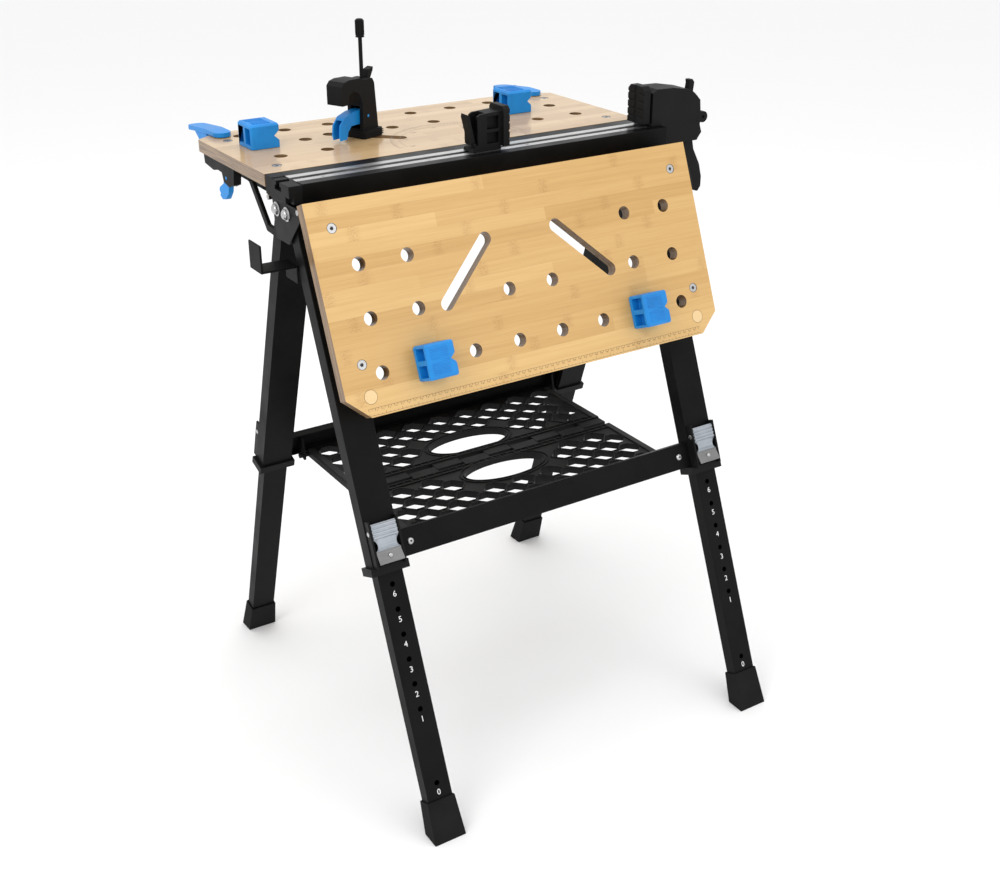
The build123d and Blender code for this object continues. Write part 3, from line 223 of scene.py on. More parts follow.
# ---- material helpers -----------------------------------------------------
class Graph:
    """The node tree of one procedural material."""

    def __init__(self, name):
        self.material = bpy.data.materials.new(name)
        self.material.use_nodes = True
        self.tree = self.material.node_tree
        self.shader = self.tree.nodes["Principled BSDF"]
        self.place = self.node("ShaderNodeTexCoord").outputs["Object"]

    def node(self, kind, **settings):
        made = self.tree.nodes.new(kind)
        for key, value in settings.items():
            setattr(made, key, value)
        return made

    def feed(self, socket, value):
        """Links an output into a socket, or sets its constant."""
        if isinstance(value, bpy.types.NodeSocket):
            self.tree.links.new(value, socket)
        else:
            socket.default_value = value

    def set(self, **values):
        for key, value in values.items():
            self.feed(self.shader.inputs[key.replace("_", " ")], value)

    def math(self, operation, first, second=0.0, third=0.0):
        made = self.node("ShaderNodeMath", operation=operation)
        for socket, value in zip(made.inputs, (first, second, third)):
            self.feed(socket, value)
        return made.outputs[0]

    def split(self, vector):
        made = self.node("ShaderNodeSeparateXYZ")
        self.feed(made.inputs[0], vector)
        return made.outputs

    def stretch(self, vector, scale):
        made = self.node("ShaderNodeMapping")
        self.feed(made.inputs["Vector"], vector)
        made.inputs["Scale"].default_value = scale
        return made.outputs[0]

    def noise(self, vector, scale, detail=3.0, roughness=0.5):
        made = self.node("ShaderNodeTexNoise")
        self.feed(made.inputs["Vector"], vector)
        made.inputs["Scale"].default_value = scale
        made.inputs["Detail"].default_value = detail
        made.inputs["Roughness"].default_value = roughness
        return made.outputs["Fac"]

    def ramp(self, factor, stops):
        made = self.node("ShaderNodeValToRGB")
        elements = made.color_ramp.elements
        while len(elements) < len(stops):
            elements.new(0.5)
        for element, (position, colour) in zip(elements, stops):
            element.position = position
            element.color = (*colour, 1.0)
        self.feed(made.inputs[0], factor)
        return made.outputs[0]

    def span(self, factor, low, high, out_low=0.0, out_high=1.0):
        made = self.node("ShaderNodeMapRange", interpolation_type="SMOOTHSTEP")
        for socket, value in zip(made.inputs, (factor, low, high, out_low, out_high)):
            self.feed(socket, value)
        return made.outputs[0]

    def mix(self, factor, first, second):
        made = self.node("ShaderNodeMix", data_type="RGBA")
        self.feed(made.inputs[0], factor)
        for socket, value in ((made.inputs[6], first), (made.inputs[7], second)):
            if isinstance(value, tuple):
                value = (*value, 1.0)
            self.feed(socket, value)
        return made.outputs[2]

    def bump(self, height, strength, distance):
        made = self.node("ShaderNodeBump")
        made.inputs["Strength"].default_value = strength
        made.inputs["Distance"].default_value = distance
        self.feed(made.inputs["Height"], height)
        self.feed(self.shader.inputs["Normal"], made.outputs[0])


def grey(value):
    return (value, value, value)


def powder_coat(name, dark, light, rough=0.42):
    """Black powder coat: orange-peel skin, faint dust and thin rub marks."""
    g = Graph(name)
    peel = g.noise(g.place, 900.0, 2.0)
    dust = g.noise(g.place, 14.0, 5.0, 0.6)
    rubs = g.noise(g.stretch(g.place, (60.0, 60.0, 9.0)), 6.0, 6.0, 0.7)
    tone = g.ramp(dust, [(0.3, grey(dark)), (0.75, grey(light))])
    worn = g.span(rubs, 0.62, 0.72, 0.0, 0.25)
    g.set(Base_Color=g.mix(worn, tone, grey(light * 3)))
    g.set(Roughness=g.span(dust, 0.25, 0.8, rough - 0.08, rough + 0.1))
    g.set(Specular_IOR_Level=0.09)
    g.bump(peel, 0.12, 0.0002)
    return g.material


def moulded(name, dark, light, rough, grain=1400.0, level=0.4, strength=0.18):
    """Moulded plastic: fine spark-eroded grain, flow shading and scuffs."""
    g = Graph(name)
    skin = g.noise(g.place, grain, 2.0, 0.6)
    flow = g.noise(g.place, 22.0, 4.0, 0.55)
    scuffs = g.noise(g.stretch(g.place, (120.0, 30.0, 120.0)), 5.0, 5.0, 0.7)
    tone = g.ramp(flow, [(0.3, dark), (0.72, light)])
    marked = g.span(scuffs, 0.64, 0.74, 0.0, 0.18)
    pale = tuple(min(1.0, channel * 1.6 + 0.02) for channel in light)
    g.set(Base_Color=g.mix(marked, tone, pale))
    g.set(Roughness=g.span(flow, 0.25, 0.8, rough - 0.06, rough + 0.08))
    g.set(Specular_IOR_Level=level)
    g.bump(skin, strength, 0.00015)
    return g.material


def metal(name, dark, light, rough, brushing):
    """Bare metal with brushing lines along one direction and faint stains."""
    g = Graph(name)
    lines = g.noise(g.stretch(g.place, brushing), 5.0, 4.0, 0.6)
    stains = g.noise(g.place, 35.0, 4.0)
    tone = g.mix(g.span(stains, 0.3, 0.75), g.ramp(lines, [(0.3, dark), (0.7, light)]), light)
    g.set(Base_Color=tone, Metallic=1.0)
    g.set(Roughness=g.span(lines, 0.2, 0.8, rough - 0.08, rough + 0.12))
    g.bump(lines, 0.12, 0.0001)
    return g.material


STRIP = 20.0
STAVE = 610.0
KNUCKLE_PITCH = 243.0


def bamboo(name, place, tones, coat):
    """Edge-glued bamboo: strips with fibres and knuckles, and a layered edge."""
    g = Graph(name)
    tilt = math.atan2(place.along.z, place.along.y)
    flat = g.node("ShaderNodeMapping", vector_type="TEXTURE")
    g.feed(flat.inputs["Vector"], g.place)
    flat.inputs["Location"].default_value = place.origin
    flat.inputs["Rotation"].default_value = (tilt, 0, 0)
    flat.inputs["Scale"].default_value = (MM, MM, MM)
    local = flat.outputs[0]
    across, along, _ = g.split(local)

    row = g.math("FLOOR", g.math("DIVIDE", along, STRIP))
    luck = g.node("ShaderNodeTexWhiteNoise", noise_dimensions="1D")
    g.feed(luck.inputs["W"], row)
    shifted = g.math("ADD", across, g.math("MULTIPLY", luck.outputs["Value"], 4000.0))
    stave = g.math("FLOOR", g.math("DIVIDE", shifted, STAVE))
    stave_luck = g.node("ShaderNodeTexWhiteNoise", noise_dimensions="1D")
    g.feed(stave_luck.inputs["W"], g.math("ADD", g.math("MULTIPLY", row, 7.3), stave))

    fibres = g.noise(g.stretch(local, (0.012, 1.6, 1.6)), 1.0, 6.0, 0.65)
    bands = g.noise(g.stretch(local, (0.004, 0.16, 0.16)), 1.0, 4.0, 0.6)
    blend = g.math("MULTIPLY_ADD", fibres, 0.45, g.math("MULTIPLY", bands, 0.3))
    blend = g.math("MULTIPLY_ADD", stave_luck.outputs["Value"], 0.24, blend)
    wood = g.ramp(blend, [(0.28, tones[0]), (0.46, tones[1]), (0.66, tones[2])])

    # knuckles: a short darker bar across a strip, every 240 mm or so along it
    wobble = g.noise(g.stretch(local, (0.05, 0.3, 0.3)), 1.0, 3.0)
    along_stave = g.math("ADD", shifted, g.math("MULTIPLY", wobble, 16.0))
    phase = g.math("FRACT", g.math("DIVIDE", along_stave, KNUCKLE_PITCH))
    off_middle = g.math("ABSOLUTE", g.math("SUBTRACT", phase, 0.5))
    away = g.math("MULTIPLY", off_middle, KNUCKLE_PITCH)
    smear = g.noise(g.stretch(local, (0.35, 0.5, 0.5)), 1.0, 4.0, 0.7)
    knuckle = g.math("MULTIPLY", g.span(away, 13.0, 1.0), g.span(smear, 0.38, 0.62))
    dark_knuckle = g.math("MULTIPLY", knuckle, 0.4)
    wood = g.mix(dark_knuckle, wood, tones[3])

    seam_at = g.math("FRACT", g.math("DIVIDE", along, STRIP))
    seam = g.math("MULTIPLY", g.span(seam_at, 0.022, 0.0), 0.35)
    wood = g.mix(seam, wood, tones[3])

    facing = g.node("ShaderNodeVectorMath", operation="DOT_PRODUCT")
    g.feed(facing.inputs[0], g.node("ShaderNodeTexCoord").outputs["Normal"])
    facing.inputs[1].default_value = place.out
    on_face = g.span(g.math("ABSOLUTE", facing.outputs["Value"]), 0.72, 0.9)
    plies = g.noise(g.stretch(local, (0.02, 0.02, 0.55)), 1.0, 3.0)
    streaks = g.noise(g.stretch(local, (0.5, 0.5, 2.2)), 1.0, 5.0, 0.7)
    edge_blend = g.math("MULTIPLY_ADD", streaks, 0.4, g.math("MULTIPLY", plies, 0.6))
    edge = g.ramp(edge_blend, [(0.38, EDGE[0]), (0.6, EDGE[1])])

    g.set(Base_Color=g.mix(on_face, edge, wood))
    g.set(Roughness=g.span(fibres, 0.2, 0.8, 0.3, 0.48))
    g.set(Coat_Weight=coat, Coat_Roughness=0.12, Specular_IOR_Level=0.4)
    g.bump(fibres, 0.12, 0.0003)
    return g.material


def printed(name, colour):
    """Screen-printed ink, thin and slightly broken."""
    g = Graph(name)
    patches = g.noise(g.place, 700.0, 4.0, 0.7)
    worn = tuple(channel * 0.8 for channel in colour)
    g.set(Base_Color=g.ramp(patches, [(0.35, worn), (0.6, colour)]))
    g.set(Roughness=g.span(patches, 0.3, 0.7, 0.5, 0.7))
    return g.material


rail_black = powder_coat("rail_black", 0.003, 0.006, 0.36)
leg_black = powder_coat("leg_black", 0.003, 0.007, 0.46)
black_plastic = moulded("black_plastic", grey(0.004), grey(0.008), 0.5, level=0.13)
tray_plastic = moulded("tray_plastic", grey(0.005), grey(0.01), 0.5, level=0.14)
tray_light = moulded("tray_light", grey(0.011), grey(0.018), 0.5, level=0.2)
blue_plastic = moulded("blue_plastic", (0.004, 0.19, 0.55), (0.008, 0.26, 0.7), 0.42, level=0.35)
rubber = moulded("rubber", grey(0.006), grey(0.012), 0.78, 700.0, 0.12, 0.3)
track_metal = metal("track_metal", grey(0.42), grey(0.62), 0.3, (0.4, 160.0, 160.0))
zinc = metal("zinc", grey(0.36), grey(0.55), 0.3, (60.0, 60.0, 60.0))
lever_metal = metal("lever_metal", (0.3, 0.33, 0.36), (0.45, 0.48, 0.52), 0.42, (2.0, 90.0, 90.0))
plate_metal = metal("plate_metal", grey(0.17), grey(0.24), 0.42, (2.0, 90.0, 90.0))
# Painted shade: a near-black material laid into screw sockets and as a thin ring round screw heads, where there is
# only shade.
recess_shade_paint = moulded("recess_shade_paint", grey(0.01), grey(0.02), 0.6)
white_ink = printed("white_ink", grey(0.85))
brown_ink = printed("brown_ink", (0.1, 0.05, 0.015))
grey_ink = printed("grey_ink", (0.2, 0.17, 0.15))

GOLD = [(0.5, 0.285, 0.085), (0.6, 0.36, 0.125), (0.7, 0.455, 0.18), (0.36, 0.17, 0.04)]
# The level worktop's tones are a greyer copy of the same bamboo. This is painted sheen, standing in for the light
# its glossy top reflects.
TOP_SHEEN_TONES = [(0.42, 0.255, 0.105), (0.5, 0.325, 0.15), (0.6, 0.415, 0.215), (0.33, 0.18, 0.065)]
PLUG = [(0.66, 0.42, 0.17), (0.74, 0.5, 0.23), (0.8, 0.58, 0.3), (0.5, 0.27, 0.09)]
EDGE = [(0.11, 0.06, 0.025), (0.28, 0.17, 0.08)]
front_wood = bamboo("front_wood", front_face, GOLD, 0.25)
# the level worktop: the same bamboo, in the greyer tones of painted sheen
rear_wood = bamboo("rear_wood", rear_face, TOP_SHEEN_TONES, 0.6)
plug_wood = bamboo("plug_wood", front_face, PLUG, 0.25)


# ---- CAD nodes that show --------------------------------------------------
def dress(name, material, width=0.0, segments=2):
    """Gives a CAD node its material and rounds its edges."""
    node = nodes[name]
    node.data.materials.clear()
    node.data.materials.append(material)
    if "custom_normal" in node.data.attributes:
        node.data.attributes.remove(node.data.attributes["custom_normal"])
    weld = node.modifiers.new("weld", "WELD")
    weld.merge_threshold = 0.01 * MM
    flatten = node.modifiers.new("flatten", "DECIMATE")
    flatten.decimate_type = "DISSOLVE"
    flatten.angle_limit = math.radians(0.6)
    soften(node, width, segments)


HANDS = ("left", "right")
PAIRS = ("front", "rear")

dress("rail_housing", rail_black, 0.8)
dress("t_track", track_metal, 0.3)
dress("track_screws", zinc, 0.15)
dress("rail_end_cap", black_plastic, 0.8)
dress("hinge_pins", zinc, 0.5)
dress("tool_hook", leg_black, 0.9)
dress("head_body", black_plastic, 1.2, 3)
dress("head_jaw", black_plastic, 0.7)
dress("head_trigger", black_plastic, 2.5, 3)
dress("head_release", black_plastic, 1.2, 3)
dress("head_latch", black_plastic, 1.2, 3)
dress("sliding_jaw", black_plastic, 0.6)
dress("jaw_lever", black_plastic, 0.8)
dress("hold_down_body", black_plastic, 1.0, 3)
dress("hold_down_bar", black_plastic, 0.5)
dress("hold_down_trigger", blue_plastic, 0.9, 3)
dress("hold_down_release", black_plastic, 0.5)
dress("front_panel", front_wood, 0.7)
dress("rear_panel", rear_wood, 0.7)
for pair in PAIRS:
    dress(f"{pair}_panel_screws", zinc, 0.3)
    dress(f"{pair}_hinge_arms", leg_black, 1.0)
    dress(f"shelf_rail_{pair}", leg_black, 0.9)
    dress(f"lock_collars_{pair}", black_plastic, 0.8)
    dress(f"tray_{pair}", tray_plastic, 0.7)
    for hand in HANDS:
        dress(f"leg_{pair}_{hand}", leg_black, 1.4, 3)
        dress(f"leg_extension_{pair}_{hand}", leg_black, 1.2, 3)
        dress(f"foot_{pair}_{hand}", rubber, 1.5, 3)
        dress(f"dog_{pair}_{hand}", blue_plastic, 0.6)
for hand in HANDS:
    dress(f"bracket_{hand}", rail_black, 0.6)
    dress(f"strut_{hand}", leg_black, 0.9)
    dress(f"rear_grip_{hand}", black_plastic, 1.0)
    dress(f"rear_trigger_{hand}", blue_plastic, 1.4, 3)
    dress(f"clamp_paddle_{hand}", blue_plastic, 1.6, 3)


# ---- lock levers on the leg collars ---------------------------------------
LEVER_HALF = 19.6
LEVER_WAIST = 15.0
LEVER_PIN_HALF = 23.2


def lock_lever(pair, hand):
    """Pressed lever: ribbed thumb plate, narrow waist, dark lower plate and rivets."""
    name = f"lock_lever_{pair}_{hand}"
    leg = leg_place(pair, hand)
    pivot = Vector(joints[f"{name}_turn"]["pos_m"]) - leg.origin
    base = leg.at(0, pivot.dot(leg.along) / MM, pivot.dot(leg.out) / MM)
    face = Place(base, leg.across, leg.along)
    side = Place(base, leg.along, leg.out)
    mesh = bmesh.new()
    thumb = [(-9.0, 2.7), (13.0, 1.5), (13.0, 4.4), (-9.0, 5.6)]
    waist = [(-29.0, 2.0), (-9.0, 2.7), (-9.0, 5.2), (-29.0, 4.4)]
    prism(mesh, side, thumb, -LEVER_HALF, LEVER_HALF)
    prism(mesh, side, waist, -LEVER_WAIST, LEVER_WAIST)
    for rib in range(4):
        low = -8.6 + 5.4 * rib
        top = 7.4 - 0.3 * rib
        swell = [
            (low, 3.4),
            (low + 4.4, 3.2),
            (low + 4.0, top - 1.2),
            (low + 2.2, top),
            (low + 0.4, top - 0.8),
        ]
        prism(mesh, side, swell, -LEVER_HALF + 0.4, LEVER_HALF - 0.4)
    for step in range(6):
        width = LEVER_WAIST + (LEVER_HALF - LEVER_WAIST) * (1 - step / 6) ** 2
        upper = -9.0 - 1.5 * step
        lower = -26.3 + 1.2 * step
        for low, high in ((upper - 1.5, upper), (lower - 1.2, lower)):
            prism(mesh, side, [(low, 2.2), (high, 2.3), (high, 4.9), (low, 4.8)], -width, width)
    shell = add_piece(f"lever_shell_{pair}_{hand}", mesh, name, lever_metal, 0.5)

    mesh = bmesh.new()
    plate = [(-30.5, 1.6), (-26.5, 2.4), (-26.5, 5.2), (-30.2, 5.0), (-44.6, 10.6), (-45.8, 7.4)]
    prism(mesh, side, plate, -LEVER_HALF, LEVER_HALF)
    add_piece(f"lever_plate_{pair}_{hand}", mesh, name, plate_metal, 0.5)

    mesh = bmesh.new()
    turned(mesh, face, (0, -35.0), [(3.2, 4.5), (3.2, 8.4), (2.4, 9.2), (1.0, 9.5)])
    turned(mesh, side, (0, 0), [(2.5, -LEVER_PIN_HALF), (2.5, LEVER_PIN_HALF)], 16)
    turned(mesh, face, (0, -21.5), [(3.4, -7.6), (3.4, 4.0)], 20)
    for end in (-1, 1):
        cheek = Place(side.at(0, 0, end * LEVER_PIN_HALF), leg.along, leg.out * end)
        turned(mesh, cheek, (0, 0), [(3.6, 0), (3.6, 0.8), (2.0, 1.5)], 16)
    add_piece(f"lever_pins_{pair}_{hand}", mesh, name, zinc, 0.2)
    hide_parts(name)


for pair in PAIRS:
    for hand in HANDS:
        lock_lever(pair, hand)


# ---- screws, bolts and rivets ---------------------------------------------
RAIL_SCREW_X = 247.0
RAIL_SCREW_ALONG = 429.0
PANEL_SCREW_X = 290.0
PANEL_SCREW_ROWS = {"front": (-37.6, -224.0), "rear": (35.0, 212.0)}


def across_x(x, y, z, outward):
    """Face frame that looks along X, outwards to one hand."""
    return Place((x, y, z), (0, outward, 0), (0, 0, 1))


def bolt_domes():
    """Rounded caps and washers on the leg and worktop pivots."""
    mesh = bmesh.new()
    for name in ("front_legs_fold", "rear_legs_fold"):
        _, y, z = joints[name]["pos_m"]
        for outward, edge in ((-1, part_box("hinge_pins")[0].x), (1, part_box("hinge_pins")[1].x)):
            face = across_x(edge, y, z, outward)
            turned(mesh, face, (0, 0), [(7.0, -0.6), (6.6, 0.7), (5.0, 2.2), (2.4, 3.0)], 28)
            turned(mesh, face, (0, 0), [(10.2, -4.4), (10.2, -3.4), (9.6, -3.0)], 32)
    add_piece("bolt_domes", mesh, "rail", zinc, 0.15)


def shelf_rail_screws():
    """Round screws at both ends of each cross rail, beside the levers, each with a dark hexagon of painted shade
    in its socket.
    """
    for pair in PAIRS:
        leg = leg_place(pair, "left")
        sign = 1 if pair == "front" else -1
        mesh = bmesh.new()
        dark = bmesh.new()
        for x in (-RAIL_SCREW_X, RAIL_SCREW_X):
            spot = ((x * MM + middle_x - leg.origin.x) / MM * sign, RAIL_SCREW_ALONG)
            turned(mesh, leg, spot, [(5.2, 5.0), (5.2, 7.0), (4.2, 8.2), (2.0, 8.7)], 24)
            # painted shade: a dark hexagon standing in for the shaded socket of the screw
            prism(dark, leg, circle(spot, 1.7, 6), 8.4, 8.9)
        add_piece(f"rail_screws_{pair}", mesh, f"{pair}_legs", zinc, 0.2)
        add_piece(f"rail_screw_seats_{pair}", dark, f"{pair}_legs", recess_shade_paint)


def screw_recesses():
    """Painted shade in each worktop screw's driver recess, and a thin painted shadow ring round its head."""
    for name, place in (("front", front_face), ("rear", rear_face)):
        mesh = bmesh.new()
        for hand in (-1, 1):
            for row in PANEL_SCREW_ROWS[name]:
                spot = (hand * PANEL_SCREW_X, row)
                # painted shade in the driver recess, then a painted shadow ring round the screw head
                prism(mesh, place, circle(spot, 2.1, 6), -0.4, -0.2)
                frame_prism(mesh, place, circle(spot, 6.7, 32), circle(spot, 7.25, 32), -0.2, 0.05)
        add_piece(f"{name}_screw_seats", mesh, f"{name}_worktop", recess_shade_paint)


bolt_domes()
shelf_rail_screws()
screw_recesses()


# ---- shelf trays ----------------------------------------------------------
HEX_PITCH = (52.0, 20.5)
HEX_LONG = 21.5
HEX_FLAT = 7.0
HEX_HIGH = 15.5
HEX_EDGE = 12.0
OVAL = (72.5, 33.0)
OVAL_OFFSET = 55.0
OVAL_RIM = 9.0
SEAM_ROOT = 15.0
SEAM_TIP = 5.0


def hexagon(centre, grow):
    """Outline of a shelf hole, grown by an offset."""
    long, flat, high = HEX_LONG + 1.15 * grow, HEX_FLAT + 0.6 * grow, HEX_HIGH + grow
    corners = ((long, 0), (flat, high), (-flat, high), (-long, 0), (-flat, -high), (flat, -high))
    return [(centre[0] + a, centre[1] + b) for a, b in corners]


def tray_holes(half, reach):
    """Hole centres of one tray, measured from its pivot towards the seam."""
    centres = []
    oval_at = reach - OVAL_OFFSET
    for row in range(8):
        b = HEX_HIGH + 4 + row * HEX_PITCH[1]
        for column in range(-4, 5):
            a = (column + 0.5 * (row % 2)) * HEX_PITCH[0]
            off_a = max(abs(a) - HEX_LONG * 0.6, 0) / (OVAL[0] + OVAL_RIM)
            off_b = max(abs(b - oval_at) - HEX_HIGH * 0.6, 0) / (OVAL[1] + OVAL_RIM)
            clear = off_a**2 + off_b**2 > 1 and reach - b > HEX_HIGH + 13
            if clear and abs(a) < half - HEX_EDGE - HEX_LONG:
                centres.append((a, b))
    return centres


def tray_ribs(pair):
    """Raised rims round the holes, the oval and the seam, and paler side bars."""
    low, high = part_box(f"tray_{pair}")
    half = (high.x - low.x) / 2 / MM - 15.0
    pivot = Vector(joints[f"{pair}_tray_fold"]["pos_m"])
    inward = 1 if pair == "front" else -1
    tip = high.y if pair == "front" else low.y
    reach = abs(tip - pivot.y) / MM - SEAM_TIP
    place = Place((middle_x, pivot.y, high.z), (inward, 0, 0), (0, inward, 0))
    mesh = bmesh.new()
    for spot in tray_holes(half, reach):
        frame_prism(mesh, place, hexagon(spot, 0.15), hexagon(spot, 2.1), -0.5, 1.3)
    oval_spot = (0, reach - OVAL_OFFSET)
    steps = [2 * math.pi * i / 72 for i in range(72)]
    for grow in (0.2, 6.4):
        rings = [
            [
                (
                    (OVAL[0] + grow + width) * math.cos(turn),
                    oval_spot[1] + (OVAL[1] + grow + width) * math.sin(turn),
                )
                for turn in steps
            ]
            for width in (0.0, 1.8)
        ]
        frame_prism(mesh, place, rings[0], rings[1], -0.5, 1.5)
    for strip in (reach - SEAM_ROOT - 1.2, reach - SEAM_ROOT - 10.5):
        prism(mesh, place, box_outline(-half + 12, strip - 1.1, half - 12, strip + 1.1), -0.5, 1.7)
    rungs = 33
    for rung in range(rungs):
        a = (rung - (rungs - 1) / 2) * 13.6
        outline = box_outline(a - 0.9, reach - SEAM_ROOT - 10.5, a + 0.9, reach - SEAM_ROOT - 1.2)
        prism(mesh, place, outline, -0.5, 1.4)
    add_piece(f"tray_ribs_{pair}", mesh, f"{pair}_tray", tray_plastic, 0.3)
    mesh = bmesh.new()
    for end in (-1, 1):
        a0, a1 = sorted((end * (half - 11.5), end * (half - 0.6)))
        prism(mesh, place, box_outline(a0, 0.0, a1, reach - SEAM_ROOT), -0.5, 2.0)
    add_piece(f"tray_bars_{pair}", mesh, f"{pair}_tray", tray_light, 0.8)


for pair in PAIRS:
    tray_ribs(pair)


# ---- bench dogs -----------------------------------------------------------
DOG_TOP = 36.3


def dog_ribs(name, place, centre, body):
    """Fine ribs in two groups across a dog's face, with a chevron between them."""
    mesh = bmesh.new()
    a, b = centre
    for group in (-1, 1):
        for rib in range(5):
            line = b + group * (5.2 + 3.1 * rib)
            outline = box_outline(a - 16.5, line - 0.6, a + 11.0, line + 0.6)
            prism(mesh, place, outline, DOG_TOP - 0.6, DOG_TOP + 0.7)
        tip = [
            (a - 16.5, b + group * 3.4),
            (a + 11.0, b),
            (a + 11.0, b + group * 1.0),
            (a - 16.5, b + group * 4.4),
        ]
        prism(mesh, place, tip, DOG_TOP - 0.6, DOG_TOP + 0.5)
    add_piece(f"{name}_ribs", mesh, body, blue_plastic, 0.2)


def dog_centre(name, place, row=None):
    """Where a dog stands on its worktop's face."""
    low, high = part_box(name)
    spot = (low + high) / 2 - place.origin
    along = row if row is not None else spot.dot(place.along) / MM
    return spot.dot(place.across) / MM, along


dog_offset = Vector(mounts["front_row_three_262"]["pos_m"]) - front_face.origin
dog_row = dog_offset.dot(front_face.along) / MM
for hand in HANDS:
    spot = dog_centre(f"dog_front_{hand}", front_face, dog_row)
    dog_ribs(f"dog_front_{hand}", front_face, spot, f"dog_front_{hand}")
    spot = dog_centre(f"dog_rear_{hand}", rear_face)
    dog_ribs(f"dog_rear_{hand}", rear_face, spot, f"dog_rear_{hand}")


# ---- hold-down clamp ------------------------------------------------------
def hold_down_details():
    """Ribs on the knob and grooves on the base."""
    low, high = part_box("hold_down_bar")
    rod = Place(((low.x + high.x) / 2, (low.y + high.y) / 2, high.z), (1, 0, 0), (0, 1, 0))
    mesh = bmesh.new()
    for rib in range(10):
        spot = circle((0, 0), 6.0, 10)[rib]
        turned(mesh, rod, spot, [(0.9, -23.5), (0.9, -2.2)], 8)
    turned(mesh, rod, (0, 0), [(6.6, -26.6), (6.6, -24.6)], 24)
    add_piece("hold_down_knob_ribs", mesh, "hold_down_bar", black_plastic, 0.2)
    across = Vector(joints["hold_down_trigger_squeeze"]["axis"])
    axis = Vector(joints["hold_down_trigger_squeeze"]["pos_m"])
    u_way = Vector((-across.y, across.x, 0))
    base = Place(axis - u_way * 4.0 * MM, u_way, -across)
    base.origin.z = table_top
    mesh = bmesh.new()
    for level in (2.4, 5.2, 8.0):
        inner = box_outline(-23.6, -19.6, 19.6, 19.6)
        outer = box_outline(-24.5, -20.5, 20.5, 20.5)
        frame_prism(mesh, base, inner, outer, level, level + 1.3)
    add_piece("hold_down_base_ribs", mesh, "hold_down", black_plastic, 0.25)


hold_down_details()


# ---- print on the worktops ------------------------------------------------
INK = 0.06
RULER_START = -295.0
RULER_TICKS = 58
RULER_TOP = -285.0
RULER_LINE = -294.8
RULER_INCHES = 23
TICK = 0.25


def ruler():
    """Ruler along the hanging worktop's free edge, in centimetres and inches."""
    mesh = bmesh.new()
    end = RULER_START + 10.0 * RULER_TICKS + 4.0
    for line in (RULER_TOP, RULER_LINE):
        prism(mesh, front_face, box_outline(RULER_START, line, end, line + 0.35), 0, INK)
    for half in range(2 * RULER_TICKS + 1):
        a = RULER_START + 5.0 * half
        reach = 3.6 if half % 2 == 0 else 2.0
        prism(
            mesh,
            front_face,
            box_outline(a - TICK, RULER_TOP - reach, a + TICK, RULER_TOP),
            0,
            INK,
        )
    for quarter in range(4 * RULER_INCHES):
        a = RULER_START + 25.4 / 4 * quarter
        reach = 3.4 if quarter % 4 == 0 else 1.6
        prism(
            mesh,
            front_face,
            box_outline(a - TICK, RULER_LINE, a + TICK, RULER_LINE + reach),
            0,
            INK,
        )
    for mark in range(1, RULER_TICKS):
        spot = (RULER_START + 10.0 * mark + 2.6, RULER_TOP - 3.2)
        lettering(mesh, front_face, str(mark), spot, 2.2, 0, INK)
    add_piece("ruler_print", mesh, "front_worktop", brown_ink)


ARC_CENTRE = (15.0, 30.0)
ARC_INNER = 96.0
ARC_OUTER = 110.0
ARC_FIGURES = 88.0
LINE = 0.5


def protractor():
    """Angle scale printed on the level worktop."""
    mesh = bmesh.new()
    for radius in (ARC_INNER, ARC_OUTER):
        sides = 120
        inner = circle(ARC_CENTRE, radius, sides)[: sides // 2 + 1]
        outer = circle(ARC_CENTRE, radius + LINE, sides)[: sides // 2 + 1]
        for i in range(len(inner) - 1):
            quad = [inner[i], outer[i], outer[i + 1], inner[i + 1]]
            prism(mesh, rear_face, quad, 0, INK)
    for degree in range(0, 181, 3):
        turn = math.radians(degree)
        reach = 8.0 if degree % 15 == 0 else 4.5
        ray = Vector((math.cos(turn), math.sin(turn)))
        side = Vector((-ray.y, ray.x)) * LINE / 2
        root = Vector(ARC_CENTRE) + ray * (ARC_OUTER - reach)
        tip = Vector(ARC_CENTRE) + ray * ARC_OUTER
        prism(mesh, rear_face, [root - side, tip - side, tip + side, root + side], 0, INK)
        if degree % 30 == 0:
            spot = Vector(ARC_CENTRE) + ray * ARC_FIGURES
            lettering(mesh, rear_face, str(degree), spot, 5.0, 0, INK)
    add_piece("protractor_print", mesh, "rear_worktop", grey_ink)


ruler()
protractor()


PLUG_SPOT = (287.5, -269.0)
PLUG_RADIUS = 9.6


def wood_plugs():
    """Wooden plugs that fill the two corner holes of the hanging worktop."""
    mesh = bmesh.new()
    disc = [(PLUG_RADIUS, 0.0), (PLUG_RADIUS, 0.1), (PLUG_RADIUS - 0.4, 0.25)]
    for hand in (-1, 1):
        turned(mesh, front_face, (hand * PLUG_SPOT[0], PLUG_SPOT[1]), disc, 40)
    add_piece("wood_plugs", mesh, "front_worktop", plug_wood)
    mesh = bmesh.new()
    for hand in (-1, 1):
        spot = (hand * PLUG_SPOT[0], PLUG_SPOT[1])
        inner = circle(spot, PLUG_RADIUS, 40)
        outer = circle(spot, PLUG_RADIUS + 0.5, 40)
        frame_prism(mesh, front_face, inner, outer, 0, 0.08)
    add_piece("plug_joints", mesh, "front_worktop", brown_ink)


wood_plugs()

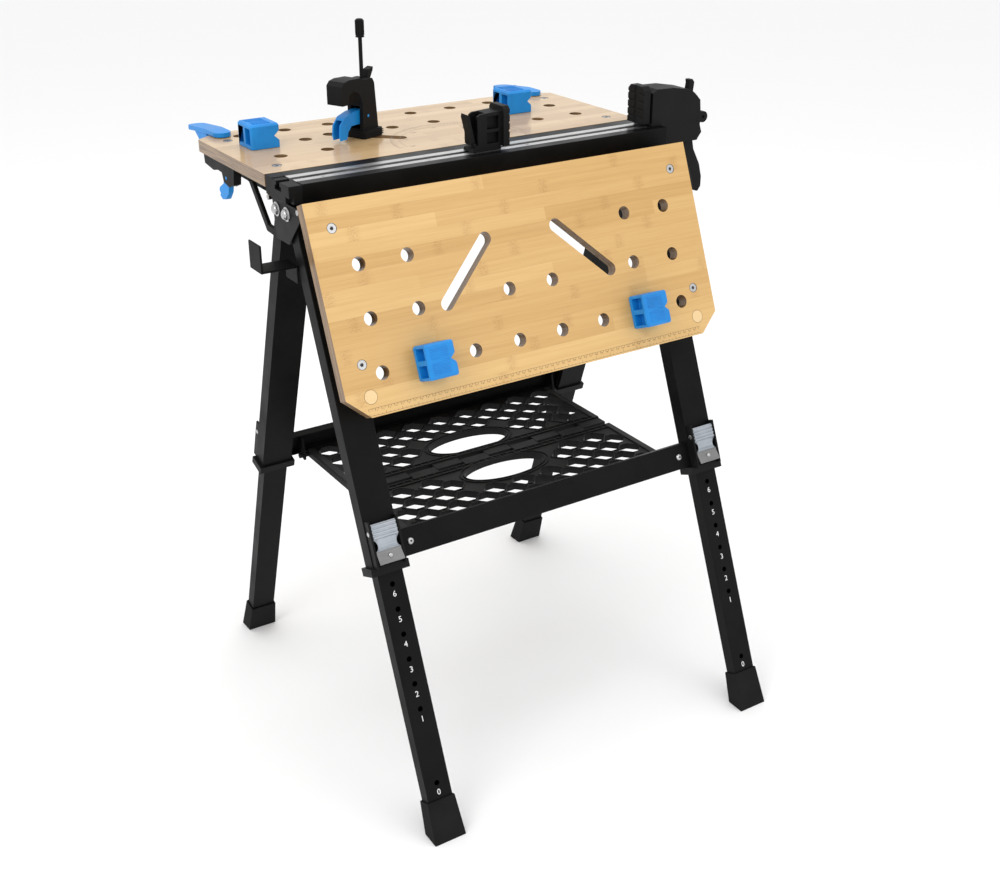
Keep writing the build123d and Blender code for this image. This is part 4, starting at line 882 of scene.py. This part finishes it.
# ---- figures on the telescopic legs ---------------------------------------
LEG_FIGURES = (67.0, 177.5, 214.5, 251.5, 289.0, 326.0, 363.5)
LEG_HALF_DEPTH = 10.0
FIGURE_HIGH = 8.5
FIGURE_TOP = LEG_HALF_DEPTH + INK
for pair in PAIRS:
    for hand in HANDS:
        place = leg_place(pair, hand)
        mesh = bmesh.new()
        for figure, along in enumerate(LEG_FIGURES):
            lettering(
                mesh, place, str(figure), (0, along), FIGURE_HIGH, LEG_HALF_DEPTH, FIGURE_TOP
            )
        add_piece(
            f"leg_figures_{pair}_{hand}",
            mesh,
            f"extension_{pair}_{hand}",
            white_ink,
        )

# ---- camera, light and floor ----------------------------------------------
CAMERA_PLACE = (-1.0852, -1.6961, 1.3661)
CAMERA_AIM = (0.4907, 0.7583, -0.4293)

camera = bpy.data.objects.new("camera", bpy.data.cameras.new("camera"))
bpy.context.scene.collection.objects.link(camera)
camera.location = CAMERA_PLACE
camera.rotation_mode = "QUATERNION"
camera.rotation_quaternion = Vector(CAMERA_AIM).to_track_quat("-Z", "Y")
camera.data.sensor_width = 36.0
camera.data.lens = 48.86
bpy.context.scene.camera = camera


def area_light(name, place, aim, size, power):
    """Square soft light that looks at a point."""
    light = bpy.data.lights.new(name, "AREA")
    light.size = size
    light.energy = power
    holder = bpy.data.objects.new(name, light)
    bpy.context.scene.collection.objects.link(holder)
    holder.location = place
    holder.rotation_mode = "QUATERNION"
    holder.rotation_quaternion = (Vector(aim) - Vector(place)).to_track_quat("-Z", "Y")


middle = (cad_low + cad_high) / 2
area_light("key_light", (-2.6, -1.2, 2.6), middle, 1.6, 26)
area_light("front_light", (1.2, -3.2, 2.4), middle, 2.0, 12)
area_light("top_light", (0.2, 0.6, 3.4), middle, 2.4, 24)

floor_mesh = bmesh.new()
bmesh.ops.create_grid(floor_mesh, x_segments=1, y_segments=1, size=40.0)
floor_data = bpy.data.meshes.new("floor")
floor_mesh.to_mesh(floor_data)
floor_mesh.free()
floor = bpy.data.objects.new("floor", floor_data)
bpy.context.scene.collection.objects.link(floor)
floor_material = Graph("floor")
floor_material.set(Base_Color=(0.93, 0.93, 0.93, 1), Roughness=0.9, Specular_IOR_Level=0.1)
floor_data.materials.append(floor_material.material)

world = bpy.data.worlds.new("studio")
world.use_nodes = True
world.node_tree.nodes["Background"].inputs["Color"].default_value = (1, 1, 1, 1)
world.node_tree.nodes["Background"].inputs["Strength"].default_value = 1.0
bpy.context.scene.world = world
bpy.context.scene.view_settings.view_transform = "Standard"
